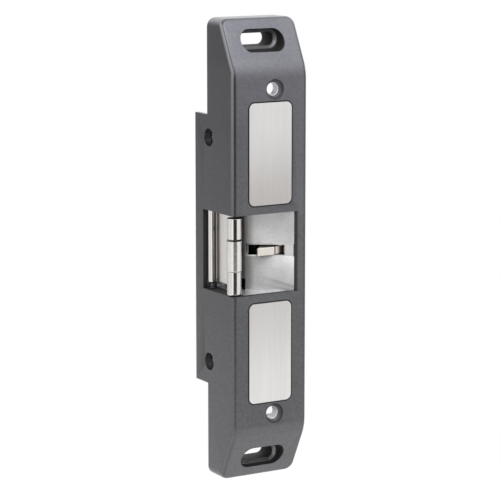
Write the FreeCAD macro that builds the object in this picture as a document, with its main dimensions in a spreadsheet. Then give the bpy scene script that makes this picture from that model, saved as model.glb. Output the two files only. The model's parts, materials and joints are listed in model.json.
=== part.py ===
import FreeCAD, Part
import math
import os
import re
import Sketcher
from FreeCAD import Placement, Rotation, Vector

# Surface mounted electric strike for a rim latch.
# Frame: X across the front, Y from the front to the wall, Z up along the length.
# The origin is in the mounting plane, midway between the two fixing holes in height.

# Driving sizes: lengths in millimetres, and one angle in degrees
SIZES = {
    # Housing outline
    "body_length": 228.6,
    "body_width": 42.0,
    "body_depth": 25.0,
    "end_depth": 12.2,
    "taper_length": 25.0,
    "taper_blend": 20.0,
    "corner_radius": 4.6,
    "edge_radius": 2.0,
    "side_wall": 2.2,
    "front_wall": 3.0,
    "hollow_length": 175.0,
    "flange_depth": 12.0,
    "flange_length": 134.4,
    # Allowances: a rib's root in its wall, a cutter's overrun, and the gaps between parts
    "rib_root": 0.5,
    "overcut": 1.0,
    "seam": 0.1,
    "part_gap": 0.4,
    "running_fit": 0.05,
    # Latch opening
    "opening_height": 39.8,
    "opening_in": 5.0,
    "opening_rear": 4.7,
    "rib_thick": 3.6,
    "jamb_thick": 4.0,
    "jamb_lap": 2.5,
    "pivot_pad_reach": 5.5,
    "pivot_pad_rear": 7.2,
    # Inset plates
    "plate_width": 24.0,
    "plate_height": 50.0,
    "plate_centre": 49.2,
    "plate_thick": 1.2,
    "plate_recess": 1.0,
    "plate_gap": 0.25,
    "plate_corner": 3.0,
    # Round fixing holes
    "fix_step": 6.2,
    "fix_across": 2.6,
    "fix_head_radius": 5.0,
    "fix_radius": 3.1,
    "fix_lead": 0.8,
    "fix_boss_radius": 6.4,
    "fix_boss_depth": 7.3,
    # End slots
    "slot_height": 103.6,
    "slot_length": 24.4,
    "slot_head_radius": 5.5,
    "slot_radius": 3.2,
    "slot_seat": 10.5,
    # Side screws
    "side_height": 56.0,
    "side_y": -1.4,
    "side_hole_radius": 4.4,
    "side_boss_radius": 6.2,
    "side_boss_length": 6.2,
    "side_hole_depth": 5.2,
    "side_head_radius": 3.5,
    "side_head_thick": 2.4,
    "side_shank_radius": 2.0,
    "side_shank_length": 7.0,
    "side_ear": 5.0,
    # Latch pocket liner
    "liner_thick": 1.2,
    "liner_step": 1.7,
    "floor_reach": 3.5,
    "floor_inset": 1.0,
    "bay_room": 3.0,
    "strip_lead": 0.02,
    "pocket_wall": -6.6,
    "pocket_rear": 8.0,
    "ramp_tilt": 33.3,
    "ramp_blend": 5.0,
    "pocket_blend": 2.0,
    "window_left": -4.3,
    "window_in": 0.7,
    "window_low": -2.1,
    "window_high": 2.9,
    "relief_deep": 0.4,
    "relief_margin": 0.55,
    "port_lead": 0.35,
    "port_height": 5.9,
    "port_depth": 8.0,
    # Keeper and its roller
    "pivot_in": 4.5,
    "pivot_y": 2.8,
    "pivot_pin_radius": 1.25,
    "pin_stop": 1.0,
    "barrel_radius": 2.6,
    "barrel_lift": 3.3,
    "hub_radius": 1.95,
    "hub_clear": 0.35,
    "nose_in": 3.55,
    "nose_back": 5.0,
    "nose_radius": 3.5,
    "roller_radius": 3.7,
    "roller_length": 15.2,
    "roller_gap": 0.25,
    "roller_relief": 0.5,
    "roller_pin_radius": 1.2,
    "roller_pin_cap": 1.5,
    "web_in": 5.6,
    "web_thick": 1.5,
    "lug_drop": 1.0,
    "web_root": 1.5,
    "web_lift": 1.7,
    "web_corner": 1.6,
    "keeper_gap": 0.35,
    # Heel and locking slide
    "heel_lift": 5.5,
    "heel_thick": 4.0,
    "heel_width": 3.0,
    "heel_reach": 9.5,
    "heel_gap": 0.35,
    "heel_stop_gap": 0.1,
    "heel_stop_width": 2.0,
    "heel_stop_inset": 0.5,
    "slide_travel": 4.5,
    "slide_thick": 3.0,
    "block_width": 4.2,
    "block_lift": 0.5,
    "strap_width": 2.2,
    "strap_gap": 0.8,
    "bar_lift": 3.2,
    "bar_thick": 3.0,
    "bar_margin": 2.0,
    # Brackets of the solenoid and of the terminals
    "shelf_gap": 0.7,
    "bracket_thick": 1.6,
    "bracket_gap": 1.0,
    "bracket_rear": 6.6,
    "bracket_top": 70.5,
    "neck_room": 2.2,
    # Solenoid
    "coil_low": 50.0,
    "coil_high": 70.0,
    "coil_front_gap": 1.3,
    "coil_rear_gap": 0.9,
    "coil_side_gap": 0.6,
    "bobbin_thick": 1.2,
    "core_frame_thick": 1.5,
    "core_frame_gap": 0.8,
    "core_frame_short": 1.6,
    "coil_screw_inset": 2.6,
    "coil_screw_radius": 1.2,
    "coil_screw_head": 2.2,
    "coil_screw_cap": 1.0,
    "plunger_radius": 3.0,
    "plunger_clear": 0.4,
    "plunger_stop": 0.7,
    "neck_radius": 1.5,
    "neck_tail": 1.8,
    "clip_thick": 0.9,
    "clip_rim": 1.6,
    "clip_grip": 0.5,
    "groove_depth": 0.4,
    # Latch monitor lever
    "lever_in": 4.5,
    "lever_back": 9.5,
    "lever_face": 5.5,
    "lever_pin_radius": 1.25,
    "lever_hub_radius": 2.4,
    "lever_hub_rise": 1.5,
    "lever_tip": -3.9,
    "lever_run": 5.4,
    "lever_low": -1.7,
    "lever_high": 2.1,
    "lever_sheet": 0.9,
    "lever_heel_x": 5.0,
    "lever_heel_y": 6.6,
    "magnet_radius": 1.1,
    "magnet_thick": 1.8,
    "magnet_x": 7.5,
    "magnet_y": 6.2,
    # Circuit board and sensor
    "board_left": -3.5,
    "board_in": 1.3,
    "board_thick": 1.6,
    "sensor_x": 4.0,
    "sensor_width": 7.0,
    "sensor_height": 5.0,
    "sensor_reach": 4.2,
    # Rear cover
    "cover_thick": 1.5,
    "cover_margin": 4.0,
    "cover_gap": 0.2,
    "cover_rear": 10.8,
    "hump_gap": 1.3,
    "hump_low": -26.0,
    "hump_high": 49.0,
    "hump_wall": 1.2,
    "cover_screw_in": 6.4,
    "cover_screw_step": 11.0,
    "cover_boss_half": 2.8,
    "cover_screw_radius": 1.4,
    "cover_screw_length": 7.0,
    "cover_head_radius": 2.6,
    "cover_head_thick": 1.6,
    # Terminal block and cable hole
    "terminal_low": -64.0,
    "terminal_high": -36.0,
    "terminal_margin": 3.0,
    "terminal_width": 11.0,
    "terminal_deep": 9.0,
    "terminal_pitch": 6.4,
    "clamp_x": -1.5,
    "clamp_well": 2.1,
    "clamp_deep": 2.5,
    "clamp_radius": 1.9,
    "clamp_sunk": 0.8,
    "clamp_slot": 0.6,
    "wire_low": 2.0,
    "wire_size": 3.0,
    "grommet_x": 8.0,
    "grommet_z": -52.0,
    "grommet_radius": 4.0,
    "grommet_flare": 1.4,
    "grommet_wall": 1.5,
    "grommet_lip": 1.2,
    # Springs
    "pin_spring_gap": 0.5,
    "plunger_spring_gap": 0.75,
    "lever_spring_length": 5.0,
    "thick_wire": 0.35,
    "thin_wire": 0.3,
}

# Places that follow from the driving sizes, as formulas of the same sheet
DERIVED = {
    "half_x": "body_width/2",
    "half_z": "body_length/2",
    "inner_x": "half_x - side_wall",
    "inner_y": "front_wall - body_depth",
    "open_z": "opening_height/2",
    "rib_z": "open_z + rib_thick",
    "opening_right": "half_x - opening_in",
    "fix_height": "plate_centre + plate_height/2 + fix_step",
    "ramp_tan": "tan(ramp_tilt * 1deg)",
    "ramp_cos": "cos(ramp_tilt * 1deg)",
    # Keeper, heel and slide
    "pivot_x": "pivot_in - half_x",
    "nose_x": "nose_in - half_x",
    "nose_y": "nose_back - body_depth",
    "web_outer": "web_in - half_x",
    "keeper_top": "open_z - keeper_gap",
    "barrel_low": "barrel_lift - open_z",
    "web_low": "barrel_low + web_lift",
    "roller_half": "roller_length/2 + roller_gap",
    "heel_low": "rib_z + heel_lift",
    "heel_top": "heel_low + heel_thick",
    "heel_rear": "pivot_y + heel_width/2 + heel_stop_gap",
    "slide_rear": "pivot_y - heel_width/2 - heel_gap",
    "slide_front": "slide_rear - slide_thick",
    "block_low": "rib_z + block_lift",
    "block_top": "heel_low - heel_gap",
    "strap_left": "pivot_x + heel_reach + strap_gap",
    "strap_right": "strap_left + strap_width",
    # Pocket liner and monitor lever
    "liner_start": "opening_right - liner_step",
    "liner_left": "pivot_x + floor_reach",
    "lever_x": "opening_right - lever_in",
    "lever_y": "lever_back - body_depth",
    "lever_front": "lever_face - body_depth",
    "lever_bend": "lever_x - lever_run",
    "window_right": "lever_x - window_in",
    # Cover and brackets
    "cover_screw_x": "half_x - cover_screw_in",
    "cover_screw_z": "side_height + cover_screw_step",
    "cover_half": "cover_screw_z + cover_margin",
    "tab_left": "side_boss_length - inner_x",
    "tab_right": "tab_left + bracket_thick",
    "bracket_right": "cover_screw_x - cover_boss_half - bracket_gap",
    "bracket_front": "inner_y + bracket_thick",
    "bracket_low": "heel_top + shelf_gap",
    "shelf_top": "bracket_low + bracket_thick",
    "bar_low": "shelf_top + bar_lift",
    "bar_top": "bar_low + bar_thick",
    "screw_seat": "side_hole_depth - half_x",
    # The winding takes the room left between the brackets, or between the front and the cover
    "frame_left": "tab_right + core_frame_gap",
    "coil_room_x": "bracket_right - frame_left - 2*core_frame_thick - 2*coil_side_gap",
    "coil_room_y": "-cover_thick - coil_rear_gap - bracket_front - core_frame_thick - coil_front_gap",
    "coil_radius": "min(coil_room_x; coil_room_y)/2",
    "coil_x": "frame_left + core_frame_thick + coil_side_gap + coil_radius",
    "coil_y": "bracket_front + core_frame_thick + coil_front_gap + coil_radius",
    "frame_right": "coil_x + coil_radius + coil_side_gap + core_frame_thick",
    "frame_rear": "coil_y + coil_radius - core_frame_short",
    "coil_middle": "(coil_low + coil_high)/2",
    "coil_screw_x": "coil_radius - coil_screw_inset",
    "winding_low": "coil_low + core_frame_thick",
    "winding_high": "coil_high - core_frame_thick",
    "plunger_top": "winding_high - slide_travel - plunger_stop",
    "hump_right": "coil_x + neck_radius + bar_margin + hump_gap + hump_wall",
    # Electrical parts
    "board_right": "inner_x - board_in",
    "board_front": "-cover_thick - board_thick",
    "block_rear": "bracket_front + terminal_deep",
}

doc = FreeCAD.newDocument("electric_strike")
sheet = doc.addObject("Spreadsheet::Sheet", "sizes")
rows = list(SIZES.items()) + [(name, "=" + formula) for name, formula in DERIVED.items()]
for row, (name, value) in enumerate(rows, start=1):
    sheet.set("A%d" % row, name)
    sheet.setAlias("B%d" % row, name)
for row, (name, value) in enumerate(rows, start=1):
    sheet.set("B%d" % row, str(value))
doc.recompute()

scratch = doc.addObject("Spreadsheet::Sheet", "scratch")
ALIAS = re.compile(r"\b(%s)\b" % "|".join(name for name, value in rows))


def cells(text):
    # Size names in the text become references to the sheet
    return ALIAS.sub(r"sizes.\1", "(%s)" % text)


def bind(obj, prop, text):
    obj.setExpression(prop, cells(text))


def value_of(text):
    # Number behind an expression, worked out in a cell of its own
    scratch.set("A1", "=" + cells(text))
    scratch.recompute()
    return float(scratch.get("A1"))


def ramp_y(x, back="0"):
    # Y of the ramp face over X, moved back by a sheet thickness
    return "(-body_depth + (opening_right - (%s)) * ramp_tan + (%s) / ramp_cos)" % (x, back)


def mirrored(sign, low, high):
    # A span above the middle, or its mirror image below it
    return ("-(%s)" % high, "-(%s)" % low) if sign else (low, high)


def around(middle, half):
    return ("(%s) - (%s)" % (middle, half), "(%s) + (%s)" % (middle, half))


def cover_points(end, sign):
    # Names and places of the two cover screws at one end
    return [("%s_%s" % (end, side), (way + "cover_screw_x", sign + "cover_screw_z"))
            for side, way in (("left", "-"), ("right", ""))]


ENDS = (("top", ""), ("bottom", "-"))
COVER_CORNERS = [point for end, sign in ENDS for point in cover_points(end, sign)]
PIVOT = ("pivot_x", "pivot_y")
NOSE = ("nose_x", "nose_y")
COIL = ("coil_x", "coil_y")
LEVER = ("lever_x", "lever_y")
FRONT_OUT = "-body_depth - overcut"
CHAMBER_REAR = "-cover_thick - cover_gap"


def box(name, x, y, z):
    part = doc.addObject("Part::Box", name)
    for side, axis, (low, high) in (("Length", "x", x), ("Width", "y", y), ("Height", "z", z)):
        bind(part, side, "(%s) - (%s)" % (high, low))
        bind(part, "Placement.Base." + axis, low)
    return part


TURN = {
    "x": Rotation(Vector(0, 1, 0), 90),
    "y": Rotation(Vector(1, 0, 0), -90),
    "z": Rotation(),
}


def rod(name, axis, at, radius, span, second=None):
    # Cylinder along an axis, or a cone when a second radius is given
    part = doc.addObject("Part::Cone" if second else "Part::Cylinder", name)
    part.Placement = Placement(Vector(), TURN[axis])
    bind(part, "Radius1" if second else "Radius", radius)
    if second:
        bind(part, "Radius2", second)
    bind(part, "Height", "(%s) - (%s)" % (span[1], span[0]))
    across = [a for a in "xyz" if a != axis]
    for a, value in zip(across, at):
        bind(part, "Placement.Base." + a, value)
    bind(part, "Placement.Base." + axis, span[0])
    return part


def prism(name, plane, points, span, rounds=()):
    # Padded sketch with every corner bound to the sheet, then its rounded edges
    body = doc.addObject("PartDesign::Body", name)
    base = [f for f in body.Origin.OriginFeatures if f.Role == plane + "_Plane"][0]
    sketch = body.newObject("Sketcher::SketchObject", name + "_sketch")
    sketch.AttachmentSupport = (base, [""])
    sketch.MapMode = "FlatFace"
    start = "-(%s)" % span[1] if plane == "XZ" else span[0]
    bind(sketch, "AttachmentOffset.Base.z", start)
    corners = [Vector(value_of(u), value_of(v), 0) for u, v in points]
    count = len(corners)
    for i in range(count):
        sketch.addGeometry(Part.LineSegment(corners[i], corners[(i + 1) % count]), False)
    for i in range(count):
        sketch.addConstraint(Sketcher.Constraint("Coincident", i, 2, (i + 1) % count, 1))
    for i, (u, v) in enumerate(points):
        for kind, text, value in (("DistanceX", u, corners[i].x), ("DistanceY", v, corners[i].y)):
            index = sketch.addConstraint(Sketcher.Constraint(kind, -1, 1, i, 1, value))
            bind(sketch, "Constraints[%d]" % index, text)
    pad = body.newObject("PartDesign::Pad", name + "_pad")
    pad.Profile = sketch
    bind(pad, "Length", "(%s) - (%s)" % (span[1], span[0]))
    body.Tip = pad
    doc.recompute()
    for number, (test, radius) in enumerate(rounds):
        sharp = body.Tip
        edges = ["Edge%d" % i for i, e in enumerate(sharp.Shape.Edges, start=1) if test(e)]
        fillet = body.newObject("PartDesign::Fillet", "%s_round_%d" % (name, number))
        fillet.Base = (sharp, edges)
        bind(fillet, "Radius", radius)
        body.Tip = fillet
        doc.recompute()
    return body


def fuse(name, *parts):
    joined = doc.addObject("Part::MultiFuse", name)
    joined.Shapes = list(parts)
    joined.Refine = True
    return joined


def cut(name, base, *tools):
    result = doc.addObject("Part::Cut", name)
    result.Base = base
    result.Tool = tools[0] if len(tools) == 1 else fuse(name + "_tools", *tools)
    result.Refine = True
    return result


def along(edge, axis):
    # True for a straight edge parallel to one axis
    if not isinstance(edge.Curve, Part.Line):
        return False
    return abs(abs(getattr(edge.tangentAt(edge.FirstParameter), axis)) - 1) < 1e-6


def near(value, text, slack=0.01):
    return abs(value - value_of(text)) < slack


def edge_at(axis, slack=0.05, **place):
    # Picks the straight edge along one axis whose middle has the given coordinates
    def test(e):
        middle = e.CenterOfMass
        return along(e, axis) and all(near(getattr(middle, a), text, slack) for a, text in place.items())
    return test


def slot(name, radius, span, height, second=None):
    # Stadium shaped bar along Y, narrowing to a second radius when one is given
    reach = "(slot_length/2 - slot_head_radius)"
    rear = second or radius
    ends = [rod(name + side, "y", (way + reach, height), radius, span, second)
            for side, way in (("_left", "-"), ("_right", ""))]
    middle = prism(name + "_middle", "YZ", [
        (span[0], "%s - %s" % (height, radius)),
        (span[1], "%s - %s" % (height, rear)),
        (span[1], "%s + %s" % (height, rear)),
        (span[0], "%s + %s" % (height, radius)),
    ], ("-" + reach, reach))
    return fuse(name, middle, *ends)


RECESS_START = 0.45
RECESS_LONG = 0.62
RECESS_NARROW = 0.14


def screw(name, axis, at, under, sign, head_radius, head, radius, length):
    # Pan head screw: the head stands on one side of its seat, the shank goes to the other
    def reach(a, b):
        ends = ["(%s) + %d*(%s)" % (under, sign, t) for t in (a, b)]
        return ends if sign > 0 else ends[::-1]
    cap = rod(name + "_head", axis, at, head_radius, reach("0", head))
    shank = rod(name + "_shank", axis, at, radius, reach("-(%s)" % length, "0"))
    # Cross recess made of two narrow bars
    others = [a for a in "xyz" if a != axis]
    bars = []
    for turn, shares in enumerate([(RECESS_NARROW, RECESS_LONG), (RECESS_LONG, RECESS_NARROW)]):
        spans = {a: around(place, "(%s)*%s" % (head_radius, share))
                 for a, place, share in zip(others, at, shares)}
        spans[axis] = reach("(%s)*%s" % (head, RECESS_START), "(%s) + overcut" % head)
        bars.append(box("%s_bar_%d" % (name, turn), spans["x"], spans["y"], spans["z"]))
    return cut(name, fuse(name + "_solid", cap, shank), *bars)


nodes = []


def finish(part, label):
    part.Label = label
    nodes.append(part)


# Housing: side profile with two tapered ends, rounded, then the thin flange behind it
profile = [
    ("0", "-half_z"),
    ("0", "half_z"),
    ("-end_depth", "half_z"),
    ("-body_depth", "half_z - taper_length"),
    ("-body_depth", "taper_length - half_z"),
    ("-end_depth", "-half_z"),
]


def blend_edge(e):
    middle = e.CenterOfMass
    return along(e, "x") and near(middle.y, "-body_depth") and near(abs(middle.z), "half_z - taper_length")


def outline_corner(e):
    middle = e.CenterOfMass
    return along(e, "y") and near(abs(middle.x), "half_x") and near(abs(middle.z), "half_z")


def front_outline(e):
    # Every edge round the front that lies on a side wall
    middle = e.CenterOfMass
    return middle.y < value_of("-end_depth - seam") and near(abs(middle.x), "half_x") and not along(e, "y")


block = prism("block", "YZ", profile, ("-half_x", "half_x"), [
    (blend_edge, "taper_blend"),
    (outline_corner, "corner_radius"),
    (front_outline, "edge_radius"),
])
flange = box("flange", ("-half_x", "-inner_x"), ("-side_wall", "flange_depth"),
             around("0", "flange_length/2"))
hollow = box("hollow", ("-inner_x", "inner_x"), ("inner_y", "overcut"), around("0", "hollow_length/2"))
shell = fuse("shell", cut("hollowed", block, hollow), flange)

# Ribs, pads and bosses that grow from the inside of the shell
FRONT_ROOT = "inner_y - rib_root"
inside = []
for end, sign in ENDS:
    rib = mirrored(sign, "open_z", "rib_z")
    inside.append(box("rib_" + end, around("0", "inner_x + rib_root"), (FRONT_ROOT, "-cover_thick"), rib))
    inside.append(box("pivot_pad_" + end, ("-inner_x - rib_root", "pivot_x + pivot_pad_reach"),
                      ("-cover_thick - overcut", "pivot_pad_rear"), rib))
inside.append(box("jamb", ("opening_right - jamb_lap", "inner_x + rib_root"),
                  (FRONT_ROOT, "inner_y + jamb_thick"), around("0", "open_z + overcut")))
for end, sign in ENDS:
    inside.append(rod("fix_boss_" + end, "y", ("fix_across", sign + "fix_height"), "fix_boss_radius",
                      (FRONT_ROOT, "fix_boss_depth - body_depth")))
    inside.append(rod("side_boss_" + end, "x", ("side_y", sign + "side_height"), "side_boss_radius",
                      ("-inner_x - rib_root", "tab_left")))
    for corner, (x, z) in cover_points(end, sign):
        inside.append(box("cover_boss_" + corner, around(x, "cover_boss_half"),
                          (FRONT_ROOT, "-cover_thick"), around(z, "cover_boss_half")))
filled = fuse("filled", shell, *inside)

# Latch opening: clear from the front down to the ramp, and through the left side in front of the flange
ramp_edge = [
    ("-half_x - overcut", FRONT_OUT),
    ("opening_right + overcut/ramp_tan", FRONT_OUT),
    ("pocket_wall", ramp_y("pocket_wall")),
    ("pocket_wall", "flange_depth + overcut"),
    ("-half_x - overcut", "flange_depth + overcut"),
]
bay_corner = "opening_right - (front_wall - (liner_thick + seam)/ramp_cos)/ramp_tan"
bay_back = "pocket_rear + bay_room"
bay = [
    ("liner_left - seam", "inner_y"),
    (bay_corner, "inner_y"),
    ("pocket_wall + liner_thick + seam", ramp_y("pocket_wall + liner_thick + seam", "liner_thick + seam")),
    ("pocket_wall + liner_thick + seam", bay_back),
    ("liner_left - seam", bay_back),
]
strip = [
    ("liner_start", ramp_y("liner_start") + " - strip_lead"),
    ("liner_start", ramp_y("liner_start", "liner_thick + seam")),
    ("pocket_wall", ramp_y("pocket_wall", "liner_thick + seam")),
    ("pocket_wall", ramp_y("pocket_wall") + " - strip_lead"),
]
liner_span = around("0", "open_z + liner_thick + seam")
openings = [
    cut("front_opening",
        prism("opening_plan", "XY", ramp_edge, ("-open_z", "open_z")),
        box("flange_keep", ("-half_x - 2*overcut", "-inner_x"), ("opening_rear", "flange_depth + 2*overcut"),
            ("-half_z", "half_z"))),
    box("liner_bay_hollow", ("liner_left", "inner_x"), ("inner_y + jamb_thick", "overcut"),
        ("-open_z", "open_z")),
    prism("liner_bay", "XY", bay, liner_span),
    prism("liner_strip", "XY", strip, liner_span),
]

# Screw holes, pin holes and the two shallow plate recesses
CONE_START = "slot_radius - slot_head_radius - slot_seat"
CONE_END = "(fix_lead - body_depth + fix_head_radius - fix_radius)"
holes = []
for end, sign in ENDS:
    at = ("fix_across", sign + "fix_height")
    holes.append(rod("fix_hole_" + end, "y", at, "fix_radius", (FRONT_OUT, "overcut")))
    holes.append(rod("fix_lead_" + end, "y", at, "fix_head_radius", (FRONT_OUT, "fix_lead - body_depth")))
    holes.append(rod("fix_cone_" + end, "y", at, "fix_head_radius",
                     ("fix_lead - body_depth", CONE_END), "fix_radius"))
    height = sign + "slot_height"
    holes.append(slot("slot_head_" + end, "slot_head_radius", (FRONT_OUT, CONE_START), height))
    holes.append(slot("slot_cone_" + end, "slot_head_radius", (CONE_START, "-slot_seat"), height,
                      "slot_radius"))
    holes.append(slot("slot_through_" + end, "slot_radius", (FRONT_OUT, "overcut"), height))
    at = ("side_y", sign + "side_height")
    holes.append(rod("side_hole_" + end, "x", at, "side_hole_radius", ("-half_x - overcut", "screw_seat")))
    holes.append(rod("side_thread_" + end, "x", at, "side_shank_radius",
                     ("-half_x - overcut", "tab_left + overcut")))
    for corner, at in cover_points(end, sign):
        holes.append(rod("cover_thread_" + corner, "y", at, "cover_screw_radius",
                         ("-cover_thick - cover_screw_length", "overcut")))


def plate_corner(e):
    return along(e, "y")


def plate_points(sign, gap):
    half_width = "(plate_width/2 + %s)" % gap
    low, high = around(sign + "plate_centre", "plate_height/2 + %s" % gap)
    return [("-" + half_width, low), (half_width, low), (half_width, high), ("-" + half_width, high)]


for name, sign in (("upper", ""), ("lower", "-")):
    plate_front = "plate_recess - body_depth"
    holes.append(prism("recess_" + name, "XZ", plate_points(sign, "plate_gap"), (FRONT_OUT, plate_front),
                       [(plate_corner, "plate_corner + plate_gap")]))
    finish(prism(name + "_plate", "XZ", plate_points(sign, "0"),
                 (plate_front + " - plate_thick", plate_front), [(plate_corner, "plate_corner")]),
           name + "_plate")

holes.append(rod("pivot_bore", "z", PIVOT, "pivot_pin_radius", ("pin_stop - rib_z", "0")))
holes.append(rod("hub_bore", "z", PIVOT, "hub_radius + hub_clear", ("0", "rib_z + overcut")))
holes.append(rod("lever_bore", "z", LEVER, "lever_pin_radius", around("0", "rib_z - pin_stop")))
finish(cut("housing_shape", filled, *(openings + holes)), "housing")

# Latch pocket liner: one bent sheet with a floor and a ceiling
wall = [
    ("liner_start", ramp_y("liner_start")),
    ("pocket_wall", ramp_y("pocket_wall")),
    ("pocket_wall", "pocket_rear"),
    ("cover_gap - inner_x", "pocket_rear"),
    ("cover_gap - inner_x", "pocket_rear + liner_thick"),
    ("pocket_wall + liner_thick", "pocket_rear + liner_thick"),
    ("pocket_wall + liner_thick", ramp_y("pocket_wall + liner_thick", "liner_thick")),
    ("liner_start", ramp_y("liner_start", "liner_thick")),
]
floor_plan = [
    ("liner_left", "inner_y + seam"),
    ("liner_start - floor_inset", "inner_y + seam"),
    ("liner_start - floor_inset", ramp_y("liner_start - floor_inset", "liner_thick")),
    ("pocket_wall + liner_thick", ramp_y("pocket_wall + liner_thick", "liner_thick")),
    ("pocket_wall + liner_thick", "pocket_rear + liner_thick"),
    ("liner_left", "pocket_rear + liner_thick"),
]
relief = [
    ("liner_start + overcut", ramp_y("liner_start + overcut", "-overcut")),
    ("liner_start + overcut", ramp_y("liner_start + overcut", "relief_deep")),
    ("window_left - overcut", ramp_y("window_left - overcut", "relief_deep")),
    ("window_left - overcut", ramp_y("window_left - overcut", "-overcut")),
]
sheet_wall = prism("liner_wall", "XY", wall, ("-open_z", "open_z"), [
    (edge_at("z", x="pocket_wall", y=ramp_y("pocket_wall")), "ramp_blend"),
    (edge_at("z", x="pocket_wall + liner_thick", y=ramp_y("pocket_wall + liner_thick", "liner_thick")),
     "ramp_blend - liner_thick"),
    (edge_at("z", x="pocket_wall", y="pocket_rear"), "pocket_blend"),
    (edge_at("z", x="pocket_wall + liner_thick", y="pocket_rear + liner_thick"),
     "pocket_blend + liner_thick"),
])
port_front = ramp_y("pocket_wall") + " - port_lead"
finish(cut(
    "liner_shape",
    fuse("liner_joined", sheet_wall,
         prism("liner_floor", "XY", floor_plan, mirrored("-", "open_z", "open_z + liner_thick")),
         prism("liner_ceiling", "XY", floor_plan, ("open_z", "open_z + liner_thick"))),
    box("window", ("window_left", "window_right"),
        ("-body_depth", ramp_y("window_left", "liner_thick") + " + overcut"), ("window_low", "window_high")),
    prism("relief", "XY", relief, ("window_low - relief_margin", "window_high + relief_margin")),
    box("port", ("pocket_wall - overcut", "pocket_wall + liner_thick + part_gap"),
        (port_front, port_front + " + port_depth"), ("-open_z", "port_height - open_z"))), "pocket_liner")

# Keeper: barrel, web with one rounded corner, two nose lugs and the heel arm above the ceiling
barrel_front = "pivot_y - barrel_radius"
web = prism("web", "YZ", [
    ("nose_y + web_root", "web_low"),
    (barrel_front, "web_low"),
    (barrel_front, "web_low + web_corner + seam"),
    ("pivot_y", "web_low + web_corner + seam"),
    ("pivot_y", "keeper_top"),
    ("nose_y + web_root", "keeper_top"),
], ("web_outer", "web_outer + web_thick"), [(edge_at("x", y=barrel_front, z="web_low"), "web_corner")])
finish(cut(
    "keeper_shape",
    fuse("keeper_solid",
         web,
         rod("barrel", "z", PIVOT, "barrel_radius", ("barrel_low", "keeper_top")),
         rod("hub", "z", PIVOT, "hub_radius", ("keeper_top - rib_root", "heel_top")),
         rod("upper_lug", "z", NOSE, "nose_radius", ("roller_half", "keeper_top - lug_drop")),
         rod("lower_lug", "z", NOSE, "nose_radius", ("-keeper_top", "-roller_half")),
         box("heel", ("pivot_x", "pivot_x + heel_reach"), around("pivot_y", "heel_width/2"),
             ("heel_low", "heel_top"))),
    rod("roller_room", "z", NOSE, "roller_radius + roller_relief", around("0", "roller_half")),
    rod("roller_pin_bore", "z", NOSE, "roller_pin_radius", around("0", "keeper_top - roller_pin_cap")),
    rod("keeper_bore", "z", PIVOT, "pivot_pin_radius + running_fit",
        ("barrel_low - overcut", "heel_top + overcut"))), "keeper")
finish(cut("roller_shape",
           rod("roller_solid", "z", NOSE, "roller_radius", around("0", "roller_length/2")),
           rod("roller_bore", "z", NOSE, "roller_pin_radius + running_fit",
               around("0", "roller_length/2 + overcut"))), "keeper_roller")
finish(rod("roller_pin_solid", "z", NOSE, "roller_pin_radius", around("0", "keeper_top - roller_pin_cap")),
       "roller_pin")
finish(rod("keeper_pin_solid", "z", PIVOT, "pivot_pin_radius", ("pin_stop - rib_z", "shelf_top")),
       "keeper_pin")

# Locking slide: a block that rises in front of the heel, a strap beside it and a bar to the plunger
finish(cut(
    "slide_shape",
    fuse("slide_solid",
         box("block_part", ("strap_left - block_width", "strap_right"), ("slide_front", "slide_rear"),
             ("block_low", "block_top")),
         box("strap", ("strap_left", "strap_right"), ("slide_front", "slide_rear"), ("block_low", "bar_top")),
         box("bar", ("strap_left", "coil_x + neck_radius + bar_margin"),
             ("coil_y - neck_radius - bar_margin", "slide_rear"), ("bar_low", "bar_top"))),
    rod("neck_hole", "z", COIL, "neck_radius", ("bar_low - overcut", "bar_top + overcut"))), "locking_slide")

clip_span = ("bar_low - clip_thick", "bar_low")
finish(cut("plunger_shape",
           fuse("plunger_solid",
                rod("plunger_body", "z", COIL, "plunger_radius", ("bar_top", "plunger_top")),
                rod("plunger_neck", "z", COIL, "neck_radius", ("bar_low - neck_tail", "bar_top"))),
           cut("clip_groove",
               rod("clip_groove_out", "z", COIL, "neck_radius + overcut", clip_span),
               rod("clip_groove_in", "z", COIL, "neck_radius - groove_depth", clip_span))),
       "solenoid_plunger")
finish(cut("clip_shape",
           rod("clip_solid", "z", COIL, "neck_radius + clip_rim", clip_span),
           rod("clip_hole", "z", COIL, "neck_radius - groove_depth", clip_span),
           box("clip_mouth", around("coil_x", "neck_radius - clip_grip"),
               ("coil_y - neck_radius - clip_rim - overcut", "coil_y"), clip_span)), "plunger_clip")

# Solenoid: open frame, winding between two square flanges, and its bracket
coil_screws = [(side, ("coil_x " + way + " coil_screw_x", "coil_middle"))
               for side, way in (("left", "-"), ("right", "+"))]
finish(cut(
    "frame_shape",
    box("frame_solid", ("frame_left", "frame_right"), ("bracket_front", "frame_rear"),
        ("coil_low", "coil_high")),
    box("frame_window", ("frame_left + core_frame_thick", "frame_right - core_frame_thick"),
        ("bracket_front + core_frame_thick", "frame_rear + overcut"), ("winding_low", "winding_high")),
    rod("plunger_way", "z", COIL, "plunger_radius + plunger_clear",
        ("coil_low - overcut", "winding_low + overcut")),
    *[rod("frame_thread_" + side, "y", at, "coil_screw_radius",
          ("inner_y", "bracket_front + core_frame_thick + overcut"))
      for side, at in coil_screws]), "solenoid_frame")


def bobbin_flange(name, low):
    # Square end of the bobbin, as wide as the winding
    return box("bobbin_" + name, around("coil_x", "coil_radius"), around("coil_y", "coil_radius"),
               (low, low + " + bobbin_thick"))


finish(cut("coil_shape",
           fuse("coil_solid",
                rod("winding", "z", COIL, "coil_radius",
                    ("winding_low + bobbin_thick", "winding_high - bobbin_thick")),
                bobbin_flange("under", "winding_low"),
                bobbin_flange("over", "winding_high - bobbin_thick")),
           rod("coil_bore", "z", COIL, "plunger_radius + plunger_clear",
               ("winding_low - overcut", "winding_high + overcut"))), "solenoid_coil")


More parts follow.
